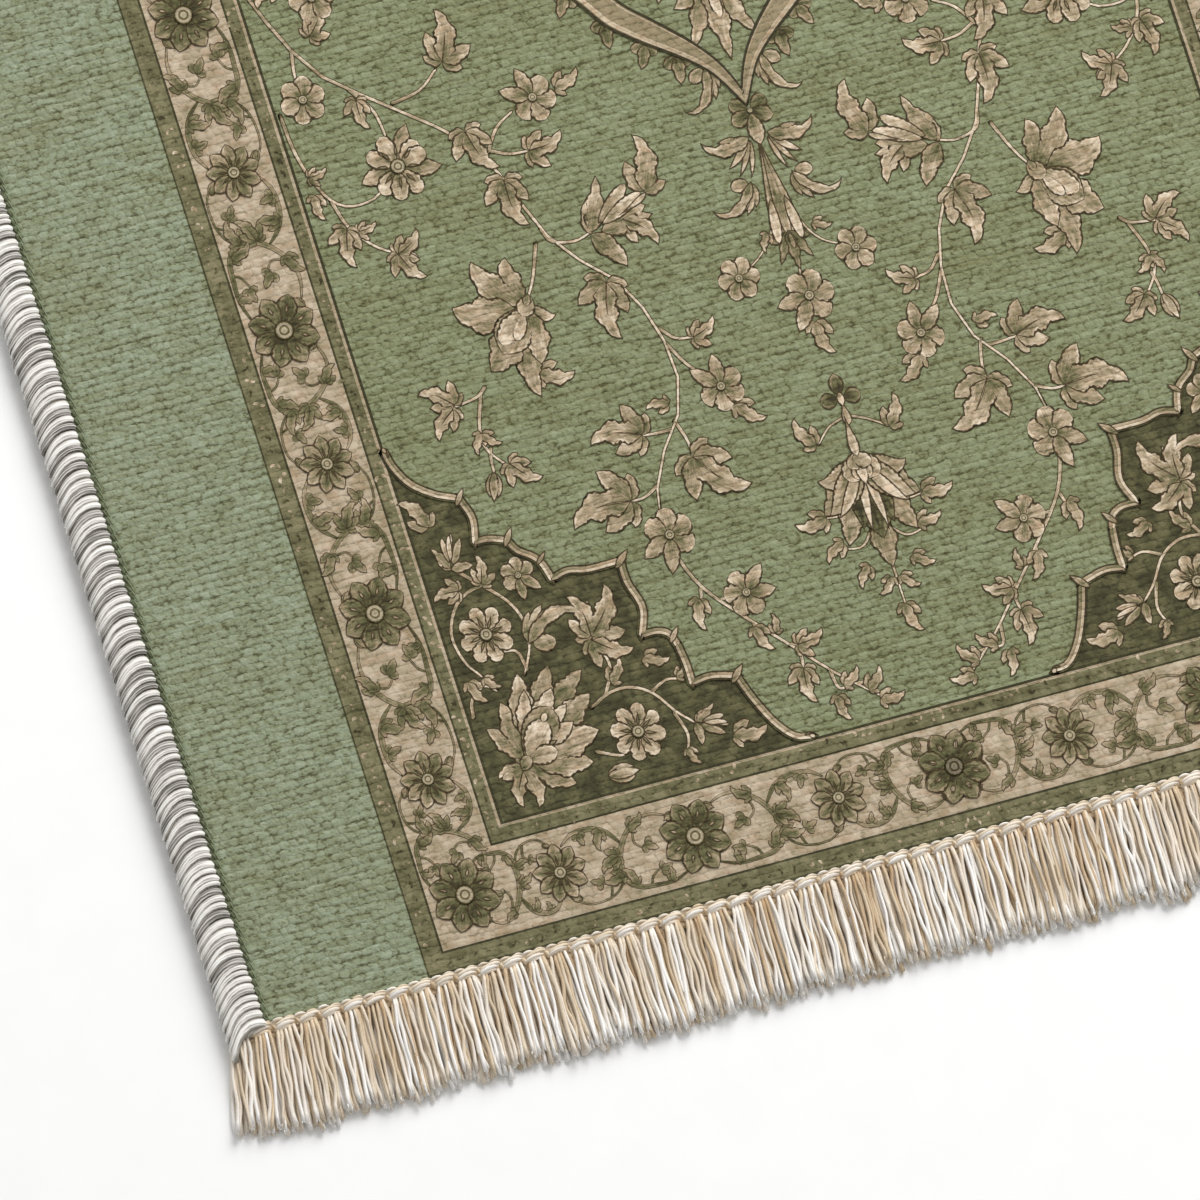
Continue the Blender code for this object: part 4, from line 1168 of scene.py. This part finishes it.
# the corners of the field: a scalloped dark ground with its own flowers. Each list runs to the next
# cusp, and the ground lies between these and the corner
cornerEdge = [
    [(-202, -292), (-200, -301), (-195, -311), (-186, -319), (-176, -324)],
    [(-176, -324), (-173, -335), (-175, -347)], [(-175, -347), (-169, -347), (-161, -350)],
    [(-161, -350), (-158, -356), (-152, -361), (-149, -366), (-147, -374)],
    [(-147, -374), (-139, -372), (-130, -374), (-115, -374)],
    [(-115, -374), (-115, -385), (-112, -399), (-116, -412)],
    [(-116, -412), (-109, -412), (-104, -415), (-102, -421)], [(-102, -421), (-101, -431), (-101, -441)],
    [(-101, -441), (-92, -440), (-81, -443)],
    [(-81, -443), (-77, -456), (-71, -470), (-64, -479), (-57, -481)],
]
cornerStems = [
    [(-189, -356), (-178, -368), (-169, -379), (-165, -390), (-166, -403), (-172, -416)],
    [(-148, -440), (-138, -435), (-128, -435), (-119, -441), (-112, -452), (-105, -460)],
    [(-140, -436), (-134, -422), (-138, -407)],
    [(-178, -368), (-186, -370), (-193, -376), (-198, -388), (-196, -402), (-190, -412)],
    [(-152, -461), (-141, -466), (-138, -462)], [(-170, -414), (-172, -404), (-178, -402)],
    [(-113, -452), (-110, -464), (-112, -472)], [(-120, -440), (-112, -436), (-106, -437)],
    [(-200, -430), (-198, -421), (-191, -416), (-186, -420)],
]
cornerMotifs = [
    ("sprig", -185, -460, 165, 13), ("sprig", -185, -461, -70, -17), ("leaf", -186, -461, -125, 15),
    ("peony", -183, -457, 52, 44), ("rosette8", -183, -392, 0, 12.5), ("rosette8", -131, -457, 20, 12.5),
    ("spray", -189, -357, 92, 25), ("sprig", -193, -334, 106, 17), ("leaf", -178, -367, 66, 12),
    ("leaf", -189, -368, 165, 12), ("leafFlower", -161, -368, 30, 9), ("acanthus", -166, -402, 48, -23),
    ("leaf", -138, -406, 84, 19), ("leaf", -137, -405, 40, 22), ("leaf", -138, -408, -50, 18),
    ("sprig", -136, -430, 40, 12), ("sprig", -118, -422, -40, 12), ("spray", -105, -460, 4, 24),
    ("sprig", -90, -470, -22, 16), ("sprig", -112, -471, -80, 9), ("sprig", -107, -436, 20, 9),
    ("sprig", -197, -412, -80, 12), ("bud", -150, -474, -4, 15), ("sprig", -190, -412, -60, 9),
]
# small points where the scallops meet, and a curl at each end of the band
cornerCusps = [
    ("cusp", -161, -350, 58, 6.5), ("cusp", -115.4, -374.6, 45, 7), ("cusp", -103, -417, 52, 6),
    ("cusp", -81.4, -443.4, 48, 7), ("cusp", -149.6, -363.6, 45, 5), ("cusp", -176.4, -324.8, 55, 6),
    ("curl", -201, -296, 70, 5), ("curl", -60, -480, 20, -5),
]

# the medallion in the middle: only its two tips reach far from the middle
medallionOuter = [
    (4, -173), (0, -165), (-3, -159), (-7, -152.5), (-13, -146), (-21, -139), (-30, -132), (-38, -125),
    (-46, -117), (-53.5, -105), (-62, -92), (-74, -76), (-90, -62), (-102, -46), (-110, -24), (-113, 0),
]
medallionInner = [
    (4, -166), (1, -156.5), (-4, -146), (-11, -136), (-18, -128), (-26, -119.5), (-36, -109), (-43, -97),
    (-52, -82), (-64, -66), (-78, -53), (-89, -38), (-96, -20), (-99, 0),
]
medallionMotifs = [
    ("acanthus", -9, -149, -96, -18, -0.03), ("ivy", -20, -141, -92, -12, -0.25),
    ("ivy", -32, -131, -108, -11, -0.25), ("ivy", -46, -115, -100, 12, -0.25),
    ("ivy", -59, -97, -125, 11, -0.22), ("ivy", -74, -78, -116, 12, -0.25),
    ("ivy", -92, -62, -130, 12, -0.25), ("sprig", -108, -34, -150, 14, -0.26), ("leaf", -50, -46, -140, 24),
    ("leaf", -28, -84, 160, 20), ("big", -36, -24, 0, 16), ("leafFlower", -70, -24, 20, 12),
    ("leaf", -60, -52, 150, 13), ("leaf", -84, -6, 190, 14), ("sprig", -58, -8, 30, 12),
]
medallionStems = [
    [(-2, -90), (-14, -84), (-26, -70), (-34, -56), (-38, -38)], [(-34, -56), (-44, -50)],
    [(-14, -84), (-26, -84)], [(-46, -18), (-56, -10), (-66, -12), (-70, -18)], [(-66, -12), (-78, -6)],
]
middleMotifs = [
    ("tuft", 4, -108, -90, 34), ("quatrefoil", 4, -104, -90, 11), ("palmette", 4, -34, -90, 40),
    ("leaf", -6, -103, -170, 16), ("leaf", 15, -103, -10, 16),
]

# the border
border = {
    "sideLine": 228.0,       # middle of the side borders
    "endLine": 513.5,
    "sideFlowers": [0, -58, -140, -222, -291, -368, -453, -512],
    "endFlowers": [-227, -184, -121, -54, 0],
    "sideHalf": 17.0,        # from the middle line to the guards
    "endHalf": 20.0,
    "sideTurned": (1, 2, 5, 6),   # the links whose scroll starts on the outer side
    "endTurned": (0, 1),
    "darkSize": 15.5,
    "lightSize": 12.6,
    "fullLink": 76,          # mm; the motifs in a shorter link are smaller
    "leafTone": -0.24,
    "guards": [(250.2, 541.4), (206.6, 487.8)],
    "markPitch": 6.2,
    # half-sizes outside and inside, tone, and lift over the others
    "rings": [
        (254.7, 545.9, 201.7, 482.0, 0.79, 0.0),
        (254.7, 545.9, 245.6, 536.2, 0.37, 0.02), (246.0, 536.6, 245.0, 535.6, 0.08, 0.04),
        (254.9, 546.0, 254.2, 545.2, 0.12, 0.04), (209.6, 491.6, 201.7, 482.4, 0.36, 0.02),
        (210.1, 492.1, 209.2, 491.2, 0.08, 0.04), (204.2, 484.6, 202.9, 483.3, 0.74, 0.04),
        (202.9, 483.3, 201.6, 482.0, 0.03, 0.05),
    ],
}


def links():
    # the gaps between neighbouring flowers, from a dark one to a light one: from x, y, to x, y,
    # half-width, side
    sides = [(-border["sideLine"], y) for y in border["sideFlowers"]]
    ends = [(x, -border["endLine"]) for x in border["endFlowers"]]
    rows = []
    for places, darkFirst, half, turned in ((sides, 1, border["sideHalf"], border["sideTurned"]),
                                            (ends, 0, border["endHalf"], border["endTurned"])):
        for i, pair in enumerate(zip(places, places[1:])):
            start, stop = pair if i % 2 == darkFirst else pair[::-1]
            rows.append((*start, *stop, half, 1 if i in turned else -1))
    return rows


# from a dark flower to a light one, along 0 to 1 and across -1 to 1: a broad scroll, thin stems, and
# motifs with their angle from the way along and their size
linkScrolls = [
    [(0.09, 0.71), (0.23, 0.9), (0.37, 0.89), (0.48, 0.84), (0.55, 0.6), (0.565, 0.1), (0.5, -0.38),
     (0.38, -0.76), (0.26, -0.82), (0.15, -0.68)],
    [(0.52, -0.3), (0.6, -0.66), (0.7, -0.84), (0.84, -0.84), (0.94, -0.62)],
]
linkStems = [
    [(0.56, 0.4), (0.62, 0.74), (0.72, 0.92), (0.86, 0.93), (0.96, 0.72)],
    [(0.36, -0.74), (0.41, -0.56), (0.43, -0.26), (0.38, -0.06)], [(0.4, 0.88), (0.37, 0.66), (0.3, 0.5)],
    [(0.7, 0.9), (0.68, 0.62), (0.74, 0.5)],
]
linkMotifs = [
    ("ivy", 0.36, -0.16, 140, 8), ("ivy", 0.3, 0.56, 190, 7), ("leaf", 0.57, -0.02, 12, 12),
    ("sprig", 0.44, -0.62, 200, 11), ("sprig", 0.57, 0.42, 30, -12), ("ivy", 0.73, 0.52, -30, 7),
    ("sprig", 0.64, -0.76, 60, 11), ("sprig", 0.5, 0.76, -80, 11), ("bud", 0.1, -0.72, 30, 7),
    ("ivy", 0.8, -0.8, 100, 7), ("sprig", 0.25, 0.9, 250, 8), ("bud", 0.9, 0.76, -24, 7),
]


def borderScrolls():
    # every link's scrolls and motifs, carried from along and across to x and y
    broad = []
    thin = []
    placed = []
    for x0, y0, x1, y1, half, side in links():
        start = np.array([x0, y0])
        along = np.array([x1 - x0, y1 - y0])
        length = np.linalg.norm(along)
        across = np.array([-along[1], along[0]]) / length * half * side
        for table, paths in ((linkScrolls, broad), (linkStems, thin)):
            paths.extend([start + a * along + c * across for a, c in path] for path in table)
        heading = math.degrees(math.atan2(along[1], along[0]))
        share = min(1.0, length / border["fullLink"]) * side
        placed += [(kind, *(start + a * along + c * across), heading + angle * side, size * share,
                    border["leafTone"]) for kind, a, c, angle, size in linkMotifs]
    return broad, thin, placed


def borderFlowers():
    # light and dark rosettes in turn, starting light in the middle of a side and dark in the middle of
    # an end
    places = [(-border["sideLine"], y, i % 2) for i, y in enumerate(border["sideFlowers"])]
    places += [(x, -border["endLine"], i % 2) for i, x in enumerate(border["endFlowers"][1:])]
    return [("dark8" if dark else "round8", x, y, 11, border["darkSize"] if dark else border["lightSize"])
            for x, y, dark in places]


def guardMarks():
    # small light curls close together along both guards, each a little off the line and turned its own way
    rng = np.random.default_rng(31)
    pitch = border["markPitch"]
    rows = []
    for line, end in border["guards"]:
        places = [(-line, y, 90) for y in np.arange(-6, -end, -pitch)]
        places += [(x, -end, 0) for x in np.arange(-line + 6, 0, pitch)]
        for x, y, turn in places:
            kind = rng.choice(["mark", "loop", "curl"])
            aside = rng.normal(0, 0.8)
            rows.append((kind, x + aside * (turn > 0), y + aside * (turn == 0), turn + rng.uniform(-60, 60),
                         rng.uniform(1.8, 4.0)))
    return [row + (rng.uniform(-0.5, 0.12),) for row in rows]


# lines of a scalloped band: how far inward, width, lift, tone, how far the dark yarn reaches in
bandLines = [(0.0, 4.7, 0.42, 0.06, 9.0), (0.2, 3.5, 0.44, 0.58, 1.4), (-0.6, 1.3, 0.46, 0.86, 9.0)]
# lines of the medallion's band: share of the way from the outer to the inner line, width, lift, tone, reach
medallionLines = [(0.0, 1.3, 0.44, 0.06, 9.0), (1.0, 1.4, 0.44, 0.06, 9.0), (0.17, 2.3, 0.44, 0.9, 9.0),
                  (0.88, 0.8, 0.44, 0.86, 9.0)]


def cornerBand():
    # each run of the scalloped edge between two cusps is moved inward and given its width and tone
    runs = np.stack([smoothPath(run, 20) for run in cornerEdge])
    forward = np.gradient(runs, axis=1)
    forward /= np.linalg.norm(forward, axis=2, keepdims=True)
    normal = np.stack([-forward[..., 1], forward[..., 0]], -1)
    return joined([strips(runs + normal * inward, width / 2, pattern["height"] + lift, tone, thin=thin)
                   for inward, width, lift, tone, thin in bandLines])


def medallionBand():
    # a tan band between two lines, with thin lines laid along it at shares of the way across
    outer, inner = (smoothPath(line, 60) for line in (medallionOuter, medallionInner))
    base = pattern["height"]
    lines = [strips((outer + (inner - outer) * share)[None], width / 2, base + lift, tone, thin=thin)
             for share, width, lift, tone, thin in medallionLines]
    return joined([slabs(outer, inner, base + 0.42, 0.54)] + lines)


def cornerGround():
    # between the scalloped edge and the two lines that meet in the corner
    edge = np.concatenate([smoothPath(run, 14) for run in cornerEdge])
    share = np.linspace(0, 1, len(edge))
    lines = np.stack([np.interp(share, [0, 0.5, 1], [-201.8, -201.8, -57]),
                      np.interp(share, [0, 0.5, 1], [-292, -482.1, -482.1])], -1)
    return slabs(edge, lines, pattern["height"] + 0.02, 0.19)


def dyedPiece(name, parts, material):
    # one piece from several parts, each point with its rim, shade, across and along
    points, faces, extra = joined(parts)
    keys = ("rim", "shade", "across", "along")
    piece = meshPiece(name, points, faces, material, dict(zip(keys, extra.T)), smooth=False)
    print("dyed:", name, sum(len(f) * (f.shape[1] - 2) for f in faces), "triangles")
    return piece


def buildPattern():
    # lowest first: grounds, bands, stems, leaves, flowers and rings, each a little over the one before
    base = pattern["height"]
    leaf = base + pattern["leafLift"]
    stem = base + pattern["stemLift"]
    ring = base + pattern["ringLift"]
    middle = pattern["middle"]
    ground, motif, scroll, line = (dyedPile(name) for name in dyedKinds)
    broad, thin, placed = borderScrolls()
    flowers = borderFlowers()
    once = pendantMotifs + middleMotifs
    return [
        dyedPiece("borderGrounds", [frames(border["rings"], base)], ground),
        dyedPiece("cornerGrounds", [quarters(cornerGround())], ground),
        dyedPiece("scallopedBands", [quarters(cornerBand()), quarters(medallionBand(), middle)], line),
        dyedPiece("vineStems", [quarters(stems(fieldStems + cornerStems, 2.2, stem)),
                                quarters(stems(medallionStems, 2.0, stem), middle),
                                bothEnds(stems(pendantStems, 1.8, stem))], motif),
        dyedPiece("borderStems", [quarters(joined([
            stems(thin, 1.3, base + 0.1, tone=0.36),
            stems(broad, 2.7, base + 0.12, tone=0.42, swelling=True)]))], scroll),
        dyedPiece("borderLeaves", [quarters(motifs(placed, leaf, steps=10))], scroll),
        dyedPiece("borderFlowers", [quarters(motifs(flowers, base + 0.34, steps=12))], motif),
        dyedPiece("fieldFlowers", [quarters(motifs(fieldLeaves, leaf))], motif),
        dyedPiece("medallionFlowers", [quarters(motifs(medallionMotifs, leaf), middle),
                                       bothEnds(motifs(once, leaf))], motif),
        dyedPiece("cornerFlowers", [quarters(motifs(cornerMotifs, leaf)),
                                    quarters(motifs(cornerCusps, base + 0.48, steps=8))], motif),
        dyedPiece("guardMarks", [quarters(motifs(guardMarks(), base + 0.08, steps=5, thin=12.0))], motif),
        dyedPiece("flowerRings", [quarters(hearts(fieldLeaves + cornerMotifs + flowers, ring)),
                                  quarters(hearts(medallionMotifs, ring), middle),
                                  bothEnds(hearts(once, ring))], loopedPile()),
    ]


patternPieces = buildPattern()
